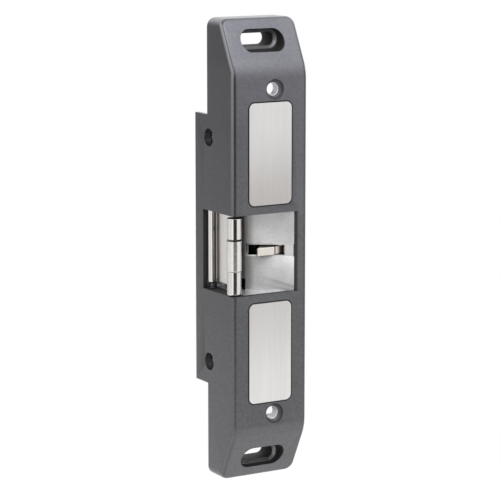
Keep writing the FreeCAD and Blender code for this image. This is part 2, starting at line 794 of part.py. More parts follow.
def bracket_parts(name, low, high, middle):
    # Wall behind the front face and a side tab with an ear for the side screw
    tab = ("tab_left", "tab_right")
    return [
        box(name + "_back", ("tab_left", "bracket_right"), ("inner_y", "bracket_front"), (low, high)),
        box(name + "_tab", tab, ("inner_y", CHAMBER_REAR), (low, high)),
        box(name + "_ear", tab, ("inner_y", "side_y + side_ear"), around(middle, "side_ear")),
    ]


def bracket_cuts(name, sign):
    # Hole for the side screw, and a notch that leaves the left cover boss free
    return [
        rod(name + "_side_hole", "x", ("side_y", sign + "side_height"), "side_shank_radius",
            ("tab_left - overcut", "tab_right + overcut")),
        box(name + "_cover_room", ("-inner_x", "cover_boss_half + part_gap - cover_screw_x"),
            ("inner_y - overcut", "overcut"), around(sign + "cover_screw_z", "cover_boss_half + part_gap")),
    ]


shelf_left = "hub_clear - inner_x"
shelf_span = ("bracket_low", "shelf_top")
through_shelf = ("bracket_low - overcut", "shelf_top + overcut")
heel_end = "pivot_x + heel_reach - heel_stop_inset"
finish(cut(
    "bracket_shape",
    fuse("bracket_solid",
         box("shelf_front", (shelf_left, "bracket_right"), ("inner_y", CHAMBER_REAR), shelf_span),
         box("shelf_rear", (shelf_left, "hump_right - hump_wall - cover_gap"), ("inner_y", "bracket_rear"),
             shelf_span),
         box("heel_stop", (heel_end + " - heel_stop_width", heel_end),
             ("heel_rear", "heel_rear + bracket_thick"), ("heel_low", "bracket_low + rib_root")),
         *bracket_parts("bracket", "bracket_low", "bracket_top", "side_height")),
    rod("shelf_pin_hole", "z", PIVOT, "pivot_pin_radius", through_shelf),
    box("shelf_slot", ("strap_left - part_gap", "strap_right + part_gap"),
        ("slide_front - part_gap", "slide_rear + part_gap"), through_shelf),
    rod("shelf_neck_room", "z", COIL, "neck_radius + neck_room", through_shelf),
    *bracket_cuts("bracket", ""),
    *[rod("bracket_hole_" + side, "y", at, "coil_screw_radius",
          ("inner_y - overcut", "bracket_front + overcut"))
      for side, at in coil_screws]), "solenoid_bracket")

finish(fuse("solenoid_screws_shape", *[
    screw("solenoid_screw_" + side, "y", at, "bracket_front + core_frame_thick", 1,
          "coil_screw_head", "coil_screw_cap", "coil_screw_radius", "core_frame_thick + bracket_thick")
    for side, at in coil_screws]), "solenoid_screws")

# Side screws, sunk in the two holes of the left wall
finish(fuse("side_screws_shape", *[
    screw("side_screw_" + end, "x", ("side_y", sign + "side_height"), "screw_seat", -1,
          "side_head_radius", "side_head_thick", "side_shank_radius", "side_shank_length")
    for end, sign in ENDS]), "side_screws")

# Latch monitor lever: a bent strip with a web behind it, its pin and its magnet
lever_plan = [
    ("lever_tip", "lever_front"),
    ("lever_bend", "lever_front"),
    ("lever_x", "lever_y - lever_hub_radius"),
    ("lever_x", "lever_y + lever_hub_radius"),
    ("lever_tip + lever_heel_x", "lever_front + lever_heel_y"),
]
strip_plan = [
    ("lever_tip", "lever_front"),
    ("lever_bend", "lever_front"),
    ("lever_x", "lever_y - lever_hub_radius"),
    ("lever_x", "lever_y - lever_hub_radius + lever_sheet"),
    ("lever_bend - seam", "lever_front + lever_sheet"),
    ("lever_tip", "lever_front + lever_sheet"),
]
lever_under = "lever_high - lever_sheet"
hub_top = "lever_high + lever_hub_rise"
finish(cut("lever_shape",
           fuse("lever_solid",
                prism("lever_web", "XY", lever_plan, (lever_under, "lever_high")),
                prism("lever_strip", "XY", strip_plan, ("lever_low", "lever_high")),
                rod("lever_hub", "z", LEVER, "lever_hub_radius", ("lever_low", hub_top))),
           rod("lever_bore_run", "z", LEVER, "lever_pin_radius + running_fit",
               ("lever_low - overcut", hub_top + " + overcut"))), "monitor_lever")
finish(rod("lever_pin_solid", "z", LEVER, "lever_pin_radius", around("0", "rib_z - pin_stop")), "lever_pin")
finish(rod("magnet_solid", "z", ("lever_tip + magnet_x", "lever_front + magnet_y"), "magnet_radius",
           (lever_under + " - magnet_thick", lever_under)), "lever_magnet")

# Circuit board on the cover, with the sensor that the magnet passes
finish(box("board_solid", ("board_left", "board_right"), ("board_front", "-cover_thick"),
           ("-open_z", "open_z")), "sensor_board")
finish(box("sensor_solid", around("sensor_x", "sensor_width/2"),
           ("board_front - sensor_reach", "board_front"), around("0", "sensor_height/2")), "reed_sensor")

# Rear cover: flat plate with an open-sided hump behind the keeper and slide
GROMMET = ("grommet_x", "grommet_z")
through_cover = ("-cover_thick - overcut", "overcut")
cover_cuts = [
    box("hump_room", ("-inner_x - overcut", "hump_right - hump_wall"),
        ("-cover_thick - overcut", "cover_rear - hump_wall"),
        ("hump_low + hump_wall", "hump_high - hump_wall")),
    rod("grommet_hole", "y", GROMMET, "grommet_radius", through_cover),
]
for end, sign in ENDS:
    cover_cuts.append(box("boss_room_" + end,
                          ("-inner_x - overcut", "screw_seat + side_shank_length + part_gap"),
                          ("-cover_thick - overcut", "cover_rear + overcut"),
                          around(sign + "side_height", "side_boss_radius + part_gap")))
for corner, at in COVER_CORNERS:
    cover_cuts.append(rod("cover_hole_" + corner, "y", at, "cover_screw_radius", through_cover))
finish(cut(
    "cover_shape",
    fuse("cover_solid",
         box("cover_plate", around("0", "inner_x - cover_gap"), ("-cover_thick", "0"),
             around("0", "cover_half")),
         box("hump", ("cover_gap - inner_x", "hump_right"), ("-cover_thick", "cover_rear"),
             ("hump_low", "hump_high"))),
    *cover_cuts), "rear_cover")
finish(fuse("cover_screws_shape", *[
    screw("cover_screw_" + corner, "y", at, "0", 1,
          "cover_head_radius", "cover_head_thick", "cover_screw_radius", "cover_screw_length")
    for corner, at in COVER_CORNERS]), "cover_screws")

flare = "grommet_radius + grommet_flare"
finish(cut("grommet_shape",
           fuse("grommet_solid",
                rod("grommet_waist", "y", GROMMET, "grommet_radius", ("-cover_thick", "0")),
                rod("grommet_inner", "y", GROMMET, flare, ("-cover_thick - grommet_lip", "-cover_thick")),
                rod("grommet_outer", "y", GROMMET, flare, ("0", "grommet_lip"))),
           rod("grommet_bore", "y", GROMMET, "grommet_radius - grommet_wall",
               ("-cover_thick - grommet_lip - overcut", "grommet_lip + overcut"))), "cable_grommet")

# Terminal block on its bracket in the lower chamber
finish(cut("terminal_bracket_shape",
           fuse("terminal_bracket_solid",
                *bracket_parts("terminal_bracket", "terminal_low - terminal_margin",
                               "terminal_high + terminal_margin", "-side_height")),
           *bracket_cuts("terminal", "-")), "terminal_bracket")

WAYS = 4
ways = ["((terminal_low + terminal_high)/2 + (%g)*terminal_pitch)" % (k - (WAYS - 1) / 2)
        for k in range(WAYS)]
terminal_cuts = []
clamps = []
for k, z in enumerate(ways):
    terminal_cuts.append(box("clamp_well_%d" % k, around("clamp_x", "clamp_well"),
                             ("block_rear - clamp_deep", "block_rear + overcut"), around(z, "clamp_well")))
    terminal_cuts.append(box("wire_way_%d" % k, ("clamp_x + clamp_well", "terminal_width/2 + overcut"),
                             ("bracket_front + wire_low", "bracket_front + wire_low + wire_size"),
                             around(z, "wire_size/2")))
    clamps.append(cut("clamp_screw_%d" % k,
                      rod("clamp_head_%d" % k, "y", ("clamp_x", z), "clamp_radius",
                          ("block_rear - clamp_deep", "block_rear - clamp_sunk")),
                      box("clamp_slot_%d" % k, around("clamp_x", "clamp_radius + overcut"),
                          ("block_rear - 2*clamp_sunk", "block_rear"), around(z, "clamp_slot/2"))))
finish(cut("terminal_shape",
           box("terminal_solid", around("0", "terminal_width/2"), ("bracket_front", "block_rear"),
               ("terminal_low", "terminal_high")),
           *terminal_cuts), "terminal_block")
finish(fuse("clamp_screws_shape", *clamps), "clamp_screws")


# Springs: wire of five flats, wound in short runs about a vertical axis
WIRE_SIDES = 5
STEPS_PER_TURN = 10


def wire_ring(radius, wire, turn, rise):
    # Corners of the wire's section at one point of the helix
    angle = 2 * math.pi * turn
    corners = []
    for k in range(WIRE_SIDES):
        a = 2 * math.pi * k / WIRE_SIDES
        reach = radius + wire * math.cos(a)
        corners.append(Vector(reach * math.cos(angle), reach * math.sin(angle), rise + wire * math.sin(a)))
    return corners


def facet(*corners):
    return Part.Face(Part.makePolygon(list(corners) + [corners[0]]))


def coil_spring(label, x, y, low, high, radius, wire, turns):
    steps = round(turns * STEPS_PER_TURN)
    rise = (high - low - 2 * wire) / steps
    rings = [wire_ring(radius, wire, k / STEPS_PER_TURN, wire + k * rise) for k in range(steps + 1)]
    facets = [facet(*rings[0]), facet(*rings[-1])]
    for here, there in zip(rings, rings[1:]):
        for k in range(WIRE_SIDES):
            j = (k + 1) % WIRE_SIDES
            facets.append(facet(here[k], there[k], there[j]))
            facets.append(facet(here[k], there[j], here[j]))
    solid = Part.Solid(Part.Shell(facets))
    if solid.Volume < 0:
        solid.reverse()
    spring = doc.addObject("Part::Feature", label + "_shape")
    spring.Shape = solid
    spring.Placement = Placement(Vector(x, y, low), Rotation())
    finish(spring, label)


SPRINGS = [
    # label, axis, lower end, upper end, coil radius, wire radius, turns
    ("keeper_spring", PIVOT, "-open_z", "barrel_low", "pivot_pin_radius + pin_spring_gap", "thick_wire", 4),
    ("plunger_spring", COIL, "bar_top", "coil_low", "plunger_radius + plunger_spring_gap", "thick_wire", 4),
    ("lever_spring", LEVER, hub_top, hub_top + " + lever_spring_length",
     "lever_pin_radius + pin_spring_gap", "thin_wire", 5),
]
for label, axis, low, high, radius, wire, turns in SPRINGS:
    coil_spring(label, *[value_of(t) for t in (*axis, low, high, radius, wire)], turns)

doc.recompute()
for item in doc.Objects:
    if "Invalid" in item.State or "Error" in item.State:
        raise RuntimeError("%s is not built: %s" % (item.Name, item.State))
for item in nodes:
    if item.Shape.isNull() or not item.Shape.isValid() or item.Shape.Volume <= 0:
        raise RuntimeError("%s has no valid shape" % item.Label)

os.makedirs("parts", exist_ok=True)
for item in nodes:
    item.Shape.exportStep("parts/%s.step" % item.Label)
    print("%-18s solids %d  %s" % (item.Label, len(item.Shape.Solids), item.Shape.BoundBox))
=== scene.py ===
import json
import math

import bmesh
import bpy
import numpy as np
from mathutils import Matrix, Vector


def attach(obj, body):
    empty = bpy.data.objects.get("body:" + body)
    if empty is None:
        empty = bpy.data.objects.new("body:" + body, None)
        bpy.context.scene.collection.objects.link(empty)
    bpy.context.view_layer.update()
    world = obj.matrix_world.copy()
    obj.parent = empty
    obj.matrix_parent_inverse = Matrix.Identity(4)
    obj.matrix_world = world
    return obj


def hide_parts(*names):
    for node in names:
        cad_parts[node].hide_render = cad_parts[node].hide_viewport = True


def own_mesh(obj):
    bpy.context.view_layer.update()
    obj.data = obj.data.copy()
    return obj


# Surface mounted electric strike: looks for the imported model, in metres
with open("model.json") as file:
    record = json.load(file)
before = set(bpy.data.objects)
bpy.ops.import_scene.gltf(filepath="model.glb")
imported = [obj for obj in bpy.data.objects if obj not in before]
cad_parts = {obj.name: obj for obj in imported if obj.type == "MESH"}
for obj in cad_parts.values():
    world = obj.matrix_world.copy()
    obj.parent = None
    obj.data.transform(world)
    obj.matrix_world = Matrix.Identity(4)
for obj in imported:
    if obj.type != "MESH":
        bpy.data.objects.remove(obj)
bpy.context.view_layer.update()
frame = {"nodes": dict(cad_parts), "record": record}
nodes = frame["nodes"]
scene = bpy.context.scene
mm = 0.001
print("frame loaded:", len(nodes), "nodes")


# Shader maths: a socket that takes part in Python arithmetic
class Flow:
    def __init__(self, shading, socket):
        self.shading, self.socket = shading, socket

    def maths(self, operation, first, second=None):
        inputs = {0: first} if second is None else {0: first, 1: second}
        return self.shading.node("ShaderNodeMath", {"operation": operation}, inputs)

    def __add__(self, other):
        return self.maths("ADD", self, other)

    def __radd__(self, other):
        return self.maths("ADD", other, self)

    def __sub__(self, other):
        return self.maths("SUBTRACT", self, other)

    def __rsub__(self, other):
        return self.maths("SUBTRACT", other, self)

    def __mul__(self, other):
        return self.maths("MULTIPLY", self, other)

    def __rmul__(self, other):
        return self.maths("MULTIPLY", other, self)

    def __pow__(self, other):
        return self.maths("POWER", self, other)

    def high(self, other):
        return self.maths("MAXIMUM", self, other)

    def size(self):
        return self.maths("ABSOLUTE", self)

    def sine(self):
        return self.maths("SINE", self)

    def angleTo(self, other):
        return self.maths("ARCTAN2", self, other)

    def smooth(self, start, end):  # 0 before start, 1 after end, with soft ends
        return self.shading.node("ShaderNodeMapRange", {"interpolation_type": "SMOOTHSTEP"},
                                 {0: self, 1: start, 2: end, 3: 0.0, 4: 1.0})

    def between(self, low, high, soft, softHigh=None):  # 1 from low to high, fading outside them
        return self.smooth(low - soft, low) * self.smooth(high + (softHigh or soft), high)


class Shading:  # a node tree and the nodes made in it
    def __init__(self, tree):
        self.tree = tree

    def node(self, kind, settings=None, inputs=None, output=0):
        made = self.tree.nodes.new(kind)
        for key, value in (settings or {}).items():
            setattr(made, key, value)
        for key, value in (inputs or {}).items():
            self.feed(made.inputs[key], value)
        return Flow(self, made.outputs[output])

    def feed(self, socket, value):
        if isinstance(value, Flow):
            self.tree.links.new(value.socket, socket)
        else:
            socket.default_value = value

    def axes(self, at):  # X, Y and Z of a vector as three numbers
        split = self.node("ShaderNodeSeparateXYZ", None, {0: at})
        return [Flow(self, socket) for socket in split.socket.node.outputs]

    def ray(self, kind):
        return self.node("ShaderNodeLightPath", output="Is " + kind + " Ray")


class Finish(Shading):  # one material, its shader and what varies over its surface
    sockets = {
        "colour": "Base Color", "metal": "Metallic", "rough": "Roughness", "normal": "Normal",
        "specular": "Specular IOR Level", "coat": "Coat Weight", "coatRough": "Coat Roughness",
    }

    def __init__(self, name, **constants):
        self.material = bpy.data.materials.new(name)
        self.material.use_nodes = True
        super().__init__(self.material.node_tree)
        self.shader = self.tree.nodes["Principled BSDF"]
        self.wear(**constants)

    def wear(self, **values):
        for key, value in values.items():
            self.feed(self.shader.inputs[self.sockets[key]], value)

    def place(self, scale=(1, 1, 1)):  # object coordinates, stretched
        raw = self.node("ShaderNodeTexCoord", output="Object")
        return self.node("ShaderNodeMapping", None, {"Vector": raw, "Scale": scale})

    def grain(self, at, scale=1.0, detail=3.0, rough=0.55):
        return self.node("ShaderNodeTexNoise", None,
                         {"Vector": at, "Scale": scale, "Detail": detail, "Roughness": rough})

    def tint(self, amount, first, second):  # colour between two colours
        return self.node("ShaderNodeMix", {"data_type": "RGBA"}, {0: amount, 6: first, 7: second}, 2)

    def bump(self, height, strength, depth):
        return self.node("ShaderNodeBump", None, {"Height": height, "Strength": strength, "Distance": depth})


def grey(level, warm=0.0):
    return (level * (1 + warm), level, level * (1 - warm), 1.0)


def cool(level, blue):
    return (level, level, level * blue, 1.0)


def shaded(colour, factor=1.0):
    return tuple(c * factor for c in colour) + (1,)


black, white = grey(0.0), grey(1.0)

# Forms of the casting that its tones follow: the front that tapers beyond the bends, the end slots
# with their coned seats, the fixing holes and the latch opening
casting = {
    "front": -25 * mm, "bend": 89.3 * mm, "taper": 0.512,
    "slotHeight": 103.6 * mm, "slotHalf": 6.7 * mm, "slotRadius": 5.5 * mm, "slotBack": -0.6 * mm,
    "seatFront": -11.6 * mm, "seatBack": -10.6 * mm,
    "holeX": 2.6 * mm, "holeHeight": 80.4 * mm, "holeRadius": 5.0 * mm, "boreRadius": 3.2 * mm,
    "openingHalf": 20.0 * mm, "openingLeft": -20.4 * mm, "openingRight": 19.6 * mm,
    "openingFront": -24.6 * mm, "openingBack": 6.5 * mm,
}

# The two face plates, one above and one below the opening, and the gap round each
plate = {"halfWidth": 12 * mm, "inner": 24.2 * mm, "outer": 74.2 * mm, "corner": 3 * mm, "edge": 0.14 * mm,
         "front": -25.2 * mm, "thick": 1.2 * mm, "gap": 0.55 * mm}


def setBack(y, height):  # how far a place lies behind the front
    return y - casting["front"] - (height - casting["bend"]).high(0) * casting["taper"]


def outsideRectangle(x, z, halfX, halfZ):  # distance outside a rectangle about the origin
    return ((x.size() - halfX).high(0) ** 2 + (z.size() - halfZ).high(0) ** 2) ** 0.5


def plateRange(x, height):  # distance from a plate's core, which is the corner radius at its outline
    middle, half = (plate["inner"] + plate["outer"]) / 2, (plate["outer"] - plate["inner"]) / 2
    return outsideRectangle(x, height - middle, plate["halfWidth"] - plate["corner"], half - plate["corner"])


# Finishes

paint = {"colour": 0.125, "fleck": 0.075, "blue": 1.06, "grainSize": 0.45 * mm, "roughness": 0.38,
         "metal": 0.85, "coat": 0.2, "paintedRecessShadeTone": 0.12, "boreTone": 0.8, "paintedSeatLightTone": 0.2,
         "upperColour": (0.1, 0.098, 0.17, 1), "upperShare": 0.15, "paintedFootShadeLevel": 0.1,
         "paintedSideShadeLevel": 0.16, "paintedSideShadeRise": 0.18, "paintedSideShadeTop": 0.14,
         "paintedRimHighlight": 0.02, "paintedRimHighlightRise": 0.12, "paintedRimDarkReflection": 0.16, "paintedRimDarkReflectionRise": 0.24}


def paintedRecessTones(x, y, height):
    # Painted shade in the slots, the fixing holes, the gaps round the plates and the latch opening, the
    # holes most of all just below the rim. The seats, with painted light, and the bores are masks of their
    # own.
    c = casting
    sunk = setBack(y, height).smooth(0.3 * mm, 1.2 * mm)
    fromSlot = outsideRectangle(x, height - c["slotHeight"], c["slotHalf"], 0)
    inSlot = fromSlot.smooth(c["slotRadius"] + 0.25 * mm, c["slotRadius"]) * (
        y.smooth(c["slotBack"] + 0.4 * mm, c["slotBack"]))
    paintedSeatLight = inSlot * y.between(c["seatFront"], c["seatBack"], 0.6 * mm, 0.3 * mm)
    fromHole = ((x - c["holeX"]) ** 2 + (height - c["holeHeight"]) ** 2) ** 0.5
    inHole = sunk * fromHole.smooth(c["holeRadius"] + 0.4 * mm, c["holeRadius"])
    bore = inHole * fromHole.smooth(c["boreRadius"] + 0.15 * mm, c["boreRadius"])
    mouth = y.smooth(c["front"] + 2 * mm, c["front"] + 1 * mm) * 0.5 + 0.25
    gapEdge = plate["corner"] + plate["gap"]
    inGap = plateRange(x, height).smooth(gapEdge + 0.15 * mm, gapEdge)
    inOpening = (height.smooth(c["openingHalf"] + 0.4 * mm, c["openingHalf"])
                 * x.between(c["openingLeft"], c["openingRight"], 0.4 * mm)
                 * y.between(c["openingFront"], c["openingBack"], 0.37 * mm, 1 * mm))
    paintedDeepShade = (sunk * inSlot * (1 - paintedSeatLight * 0.9)).high(inHole * mouth).high(inGap).high(inOpening * 0.9)
    return paintedDeepShade, paintedSeatLight, bore


def paintedRimReflections(x, z, back, paint):
    # The long rims get a painted highlight on their outer half and a painted dark reflection on their front
    # half
    out = x.size()
    paintedRimHighlight = out.smooth(19.9 * mm, 20.3 * mm) * back.between(0.6 * mm, 1.4 * mm, 0.3 * mm, 0.9 * mm) * (
        z.smooth(-20 * mm, 110 * mm) * paint["paintedRimHighlightRise"] + paint["paintedRimHighlight"])
    paintedRimDarkReflection = out.between(19.2 * mm, 20.2 * mm, 0.4 * mm, 0.25 * mm) * back.smooth(0.8 * mm, 0.5 * mm) * (
        z.between(60 * mm, 88 * mm, 150 * mm, 24 * mm) * paint["paintedRimDarkReflectionRise"] + paint["paintedRimDarkReflection"])
    return paintedRimHighlight, paintedRimDarkReflection


def texturedPaint(name, paint):
    # Fine wrinkled metallic coat: small rounded grains, darker pits and a few bright flakes
    f = Finish(name, specular=0.5, coatRough=0.25)
    at = f.place()
    grains = f.grain(at, 1 / paint["grainSize"], 2.0, 0.6)
    pits = f.grain(at, 2.3 / paint["grainSize"], 1.0, 0.5)
    blotch = f.grain(at, 0.35 / paint["grainSize"], 2.0, 0.5)
    tone = grains.smooth(0.3, 0.7) * 0.45 + pits.smooth(0.35, 0.7) * 0.3 + blotch.smooth(0.3, 0.7) * 0.25
    dark, light = paint["colour"] - paint["fleck"] * 0.5, paint["colour"] + paint["fleck"] * 0.5
    coat = f.tint(tone, cool(dark, paint["blue"]), cool(light, paint["blue"]))
    # Painted light on the upper bend and towards the right edge, and bluer higher up
    x, y, z = f.axes(at)
    pale = (z.between(80 * mm, 88 * mm, 20 * mm, 9 * mm) * 0.028).high(
        z.smooth(5 * mm, 25 * mm) * x.smooth(8 * mm, 17 * mm) * 0.02)
    coat = f.tint(pale, coat, white)
    coat = f.tint(z.smooth(-10 * mm, 90 * mm) * paint["upperShare"], coat, paint["upperColour"])
    # Painted shade: the left side darker than the front, most of all at the top, and the foot a little darker
    # too
    side = x.smooth(-19.6 * mm, -20.9 * mm) * (
        z.smooth(-70 * mm, 100 * mm) * paint["paintedSideShadeRise"] + z.smooth(45 * mm, 85 * mm) * paint["paintedSideShadeTop"]
        + paint["paintedSideShadeLevel"])
    paintedFootShade = z.between(-80 * mm, -40 * mm, 12 * mm, 40 * mm) * paint["paintedFootShadeLevel"]
    coat = f.tint(side.high(paintedFootShade), coat, black)
    paintedDeepShade, paintedSeatLight, bore = paintedRecessTones(x, y, z.size())
    paintedRimHighlight, paintedRimDarkReflection = paintedRimReflections(x, z, setBack(y, z.size()), paint)
    # Painted highlights on the outer half of the rims and on the seats; a painted dark reflection on the rims'
    # front
    coat = f.tint(paintedRimHighlight.high(paintedSeatLight * paint["paintedSeatLightTone"]), coat, white)
    coat = f.tint(paintedRimDarkReflection, coat, black)
    # Painted shade in the slots, holes, plate gaps and latch opening
    coat = f.tint(paintedDeepShade, coat, grey(paint["colour"] * paint["paintedRecessShadeTone"]))
    f.wear(colour=f.tint(bore, coat, cool(paint["boreTone"], 1.04)),
           metal=paint["metal"] - paintedDeepShade * 0.6, coat=paint["coat"] - paintedDeepShade * paint["coat"],
           rough=paint["roughness"] + (pits - 0.5) * 0.2 + paintedDeepShade * 0.35,
           normal=f.bump(grains + pits * 0.5, 0.35, 0.05 * mm))
    return f.material


plateSteel = {"colour": 0.75, "warm": 0.018, "spread": 0.07, "roughness": 0.3, "paintedGapShadeTone": 0.25,
              "lineWidth": 0.16 * mm, "lineLength": 30 * mm, "broadLines": (260, 260, 9),
              "openingDulling": 0.28, "openingDullingUpper": 0.2, "openingDullColour": (0.3, 0.27, 0.26, 1)}


def brushedSteel(name, steel):
    # Long brush lines run along Z, fine ones over broad ones, and a painted gap shade on each rim
    f = Finish(name, metal=1.0)
    across, along = 1 / steel["lineWidth"], 1 / steel["lineLength"]
    fine = f.grain(f.place((across, across, along)), 1.0, 3.0, 0.6)
    broad = f.grain(f.place(steel["broadLines"]), 1.0, 2.0, 0.5)
    cloud = f.grain(f.place(), 45.0, 2.0, 0.5)
    tone = (fine * 0.55 + broad * 0.3 + cloud * 0.15).smooth(0.3, 0.72)
    low, high = steel["colour"] * (1 - steel["spread"]), steel["colour"] * (1 + steel["spread"])
    brushed = f.tint(tone, grey(low, steel["warm"]), grey(high, steel["warm"]))
    # Duller towards the latch opening, most of all on the upper plate
    x, y, z = f.axes(f.place())
    dullerNearOpening = z.size().smooth(66 * mm, 22 * mm) * (
        z.smooth(-10 * mm, 10 * mm) * steel["openingDullingUpper"] + steel["openingDulling"])
    brushed = f.tint(dullerNearOpening, brushed, steel["openingDullColour"])
    # Painted shade of the gap round the plate, laid on its rim
    rim = plateRange(x, z.size()).smooth(plate["corner"] - 0.2 * mm, plate["corner"] - 0.02 * mm)
    f.wear(colour=f.tint(rim, brushed, grey(steel["paintedGapShadeTone"])),
           rough=steel["roughness"] + (fine - 0.5) * 0.2 + (broad - 0.5) * 0.08,
           normal=f.bump(fine, 0.15, 0.02 * mm))
    return f.material


linerSteel = {"colour": 0.68, "spread": 0.18, "roughness": 0.42, "grainSize": 0.45 * mm, "paintedDeepShadeTone": 0.25,
              "bandMiddle": 0.4 * mm, "bandHalf": 2.9 * mm, "paintedSlantShadowTone": 0.2, "paintedSlantShadowShare": 0.4,
              "paintedSlantShadowHeight": -12.9 * mm, "paintedSlantShadowSlope": 0.355}


def blastedSteel(name, steel):
    # Silver sheet with a soft blasted grain, faint clouds and a shallow band pressed round its window
    f = Finish(name, metal=0.85, specular=0.5)
    at = f.place()
    grains = f.grain(at, 1 / steel["grainSize"], 2.0, 0.6)
    cloud = f.grain(at, 90.0, 3.0, 0.55)
    x, y, z = f.axes(at)
    pressed = (z - steel["bandMiddle"]).size().smooth(steel["bandHalf"] + 0.2 * mm, steel["bandHalf"])
    tone = (grains * 0.6 + cloud * 0.4 + pressed * 0.25).smooth(0.3, 0.7)
    low, high = steel["colour"] * (1 - steel["spread"]), steel["colour"] * (1 + steel["spread"])
    silver = f.tint(tone, cool(low, 1.01), cool(high, 1.01))
    # A faint slanting shadow painted on the ramp, and painted shade where the sheet turns down by the roller
    slant = z - steel["paintedSlantShadowHeight"] + x * steel["paintedSlantShadowSlope"]
    paintedSlantShadow = slant.size().smooth(1.5 * mm, 0.2 * mm) * x.smooth(-4 * mm, 14 * mm) * steel["paintedSlantShadowShare"]
    silver = f.tint(paintedSlantShadow, silver, grey(steel["paintedSlantShadowTone"]))
    paintedDeepShade = x.smooth(-1.6 * mm, -5.6 * mm) * z.smooth(-19.8 * mm, -19.3 * mm)
    f.wear(colour=f.tint(paintedDeepShade, silver, grey(steel["paintedDeepShadeTone"])),
           rough=steel["roughness"] + (grains - 0.5) * 0.18,
           normal=f.bump(grains, 0.25, 0.03 * mm))
    return f.material


# Painted shade of the keeper's joints, and painted light on its web
paintedJointShading = {"tone": 0.03, "front": 0.95, "corner": 0.35, "root": 0.7, "lugTop": 18.4 * mm,
          "paintedWebLight": (0.93, 0.9, 0.875, 1), "webRough": 0.22}


def paintJointShading(f, shade, cloud, joint):
    # Painted shade on the nose between the joint's two heights and above the upper lug, and painted
    # shade and dark reflection in lines where the web runs into the barrel. The web itself is painted
    # paler, as light on it, and comes as a mask.
    x, y, z = f.axes(f.place())
    middle, half = (joint[0] + joint[1]) / 2, (joint[1] - joint[0]) / 2
    inJoint = (z - middle).size().smooth(half + 0.08 * mm, half)
    onLug = z.smooth(paintedJointShading["lugTop"] - 0.2 * mm, paintedJointShading["lugTop"])
    shade = f.tint(inJoint.high(onLug) * y.smooth(-15.5 * mm, -16.5 * mm), shade, grey(paintedJointShading["tone"]))
    onFront = x.between(-17.1 * mm, -16.2 * mm, 0.2 * mm) * y.between(-0.1 * mm, 0.5 * mm, 0.8 * mm, 0.4 * mm)
    inCorner = x.smooth(-16.15 * mm, -15.95 * mm) * y.smooth(-0.7 * mm, -0.3 * mm)
    right = x.smooth(-15.8 * mm, -15.5 * mm)
    onRoot = right * (y + 1.2 * mm).size().smooth(0.55 * mm, 0.2 * mm)
    web = right * y.between(-16 * mm, -0.6 * mm, 1 * mm, 0.6 * mm)
    # Painted light: the web is tinted paler
    shade = f.tint(web * (0.7 + cloud * 0.3), shade, paintedJointShading["paintedWebLight"])
    lines = (onFront * paintedJointShading["front"]).high(inCorner * paintedJointShading["corner"]).high(onRoot * paintedJointShading["root"])
    return f.tint(lines, shade, grey(paintedJointShading["tone"])), web


def polishedMetal(name, colour, roughness, lines, axisScale=(40, 40, 2600), joint=None):
    # Ground or turned metal: faint lines at right angles to the axis with the large scale
    f = Finish(name, metal=1.0, specular=0.5)
    turnedLines = f.grain(f.place(axisScale), 1.0, 2.0, 0.5)
    cloud = f.grain(f.place(), 140.0, 3.0, 0.6)
    tone = (turnedLines * 0.5 + cloud * 0.5).smooth(0.3, 0.7)
    shade = f.tint(tone, shaded(colour, 0.94), shaded(colour))
    # A joint gets painted shade in its gaps and painted light on its web
    if joint:
        shade, web = paintJointShading(f, shade, cloud, joint)
        roughness = roughness + web * paintedJointShading["webRough"]
    f.wear(colour=shade,
           rough=roughness + (turnedLines - 0.5) * lines + (cloud - 0.5) * 0.05,
           normal=f.bump(turnedLines, 0.1 + lines, 0.006 * mm))
    return f.material


def zincPlate(name, colour, roughness=0.38):
    # Plated sheet: soft bright and dull patches, with a fine rolled grain
    f = Finish(name, metal=0.9, specular=0.5)
    patches = f.node("ShaderNodeTexVoronoi", {"feature": "SMOOTH_F1"}, {"Vector": f.place(), "Scale": 170.0})
    rolled = f.grain(f.place((900, 900, 60)), 1.0, 2.0, 0.5)
    tone = patches * 0.5 + rolled * 0.5
    f.wear(colour=f.tint(tone.smooth(0.2, 0.75), shaded(colour, 0.78), shaded(colour)),
           rough=roughness + (tone - 0.5) * 0.2,
           normal=f.bump(rolled, 0.15, 0.02 * mm))
    return f.material


def moulded(name, colour, roughness=0.5, grainSize=0.5 * mm, bumpDepth=0.02 * mm, speckle=0.12):
    # Moulded plastic or rubber with a fine spark-eroded grain
    f = Finish(name, metal=0.0, specular=0.45)
    at = f.place()
    grains = f.grain(at, 1 / grainSize, 3.0, 0.6)
    cloud = f.grain(at, 60.0, 2.0, 0.5)
    low, high = shaded(colour, 1 - speckle), shaded(colour, 1 + speckle)
    f.wear(colour=f.tint(grains * 0.6 + cloud * 0.4, low, high),
           rough=roughness + (grains - 0.5) * 0.2,
           normal=f.bump(grains, 0.3, bumpDepth))
    return f.material


winding = {"pitch": 0.55 * mm, "dark": (0.1, 0.02, 0.012, 1), "bright": (0.32, 0.09, 0.035, 1)}


def windingTape(name, winding):
    # Wire turns seen through the bobbin's tape: ribs along the coil's axis
    f = Finish(name, metal=0.15, specular=0.5, coat=0.3, coatRough=0.25)
    x, y, z = f.axes(f.place())
    ribs = (z * (2 * math.pi / winding["pitch"])).sine()
    grains = f.grain(f.place(), 900.0, 2.0, 0.5)
    f.wear(colour=f.tint(ribs * 0.35 + 0.5 + (grains - 0.5) * 0.3, winding["dark"], winding["bright"]),
           rough=0.38 + (grains - 0.5) * 0.2, normal=f.bump(ribs, 0.5, 0.08 * mm))
    return f.material


board = {"cells": 420, "mask": (0.003, 0.012, 0.006, 1), "track": (0.006, 0.03, 0.012, 1),
         "tin": (0.3, 0.28, 0.22, 1)}


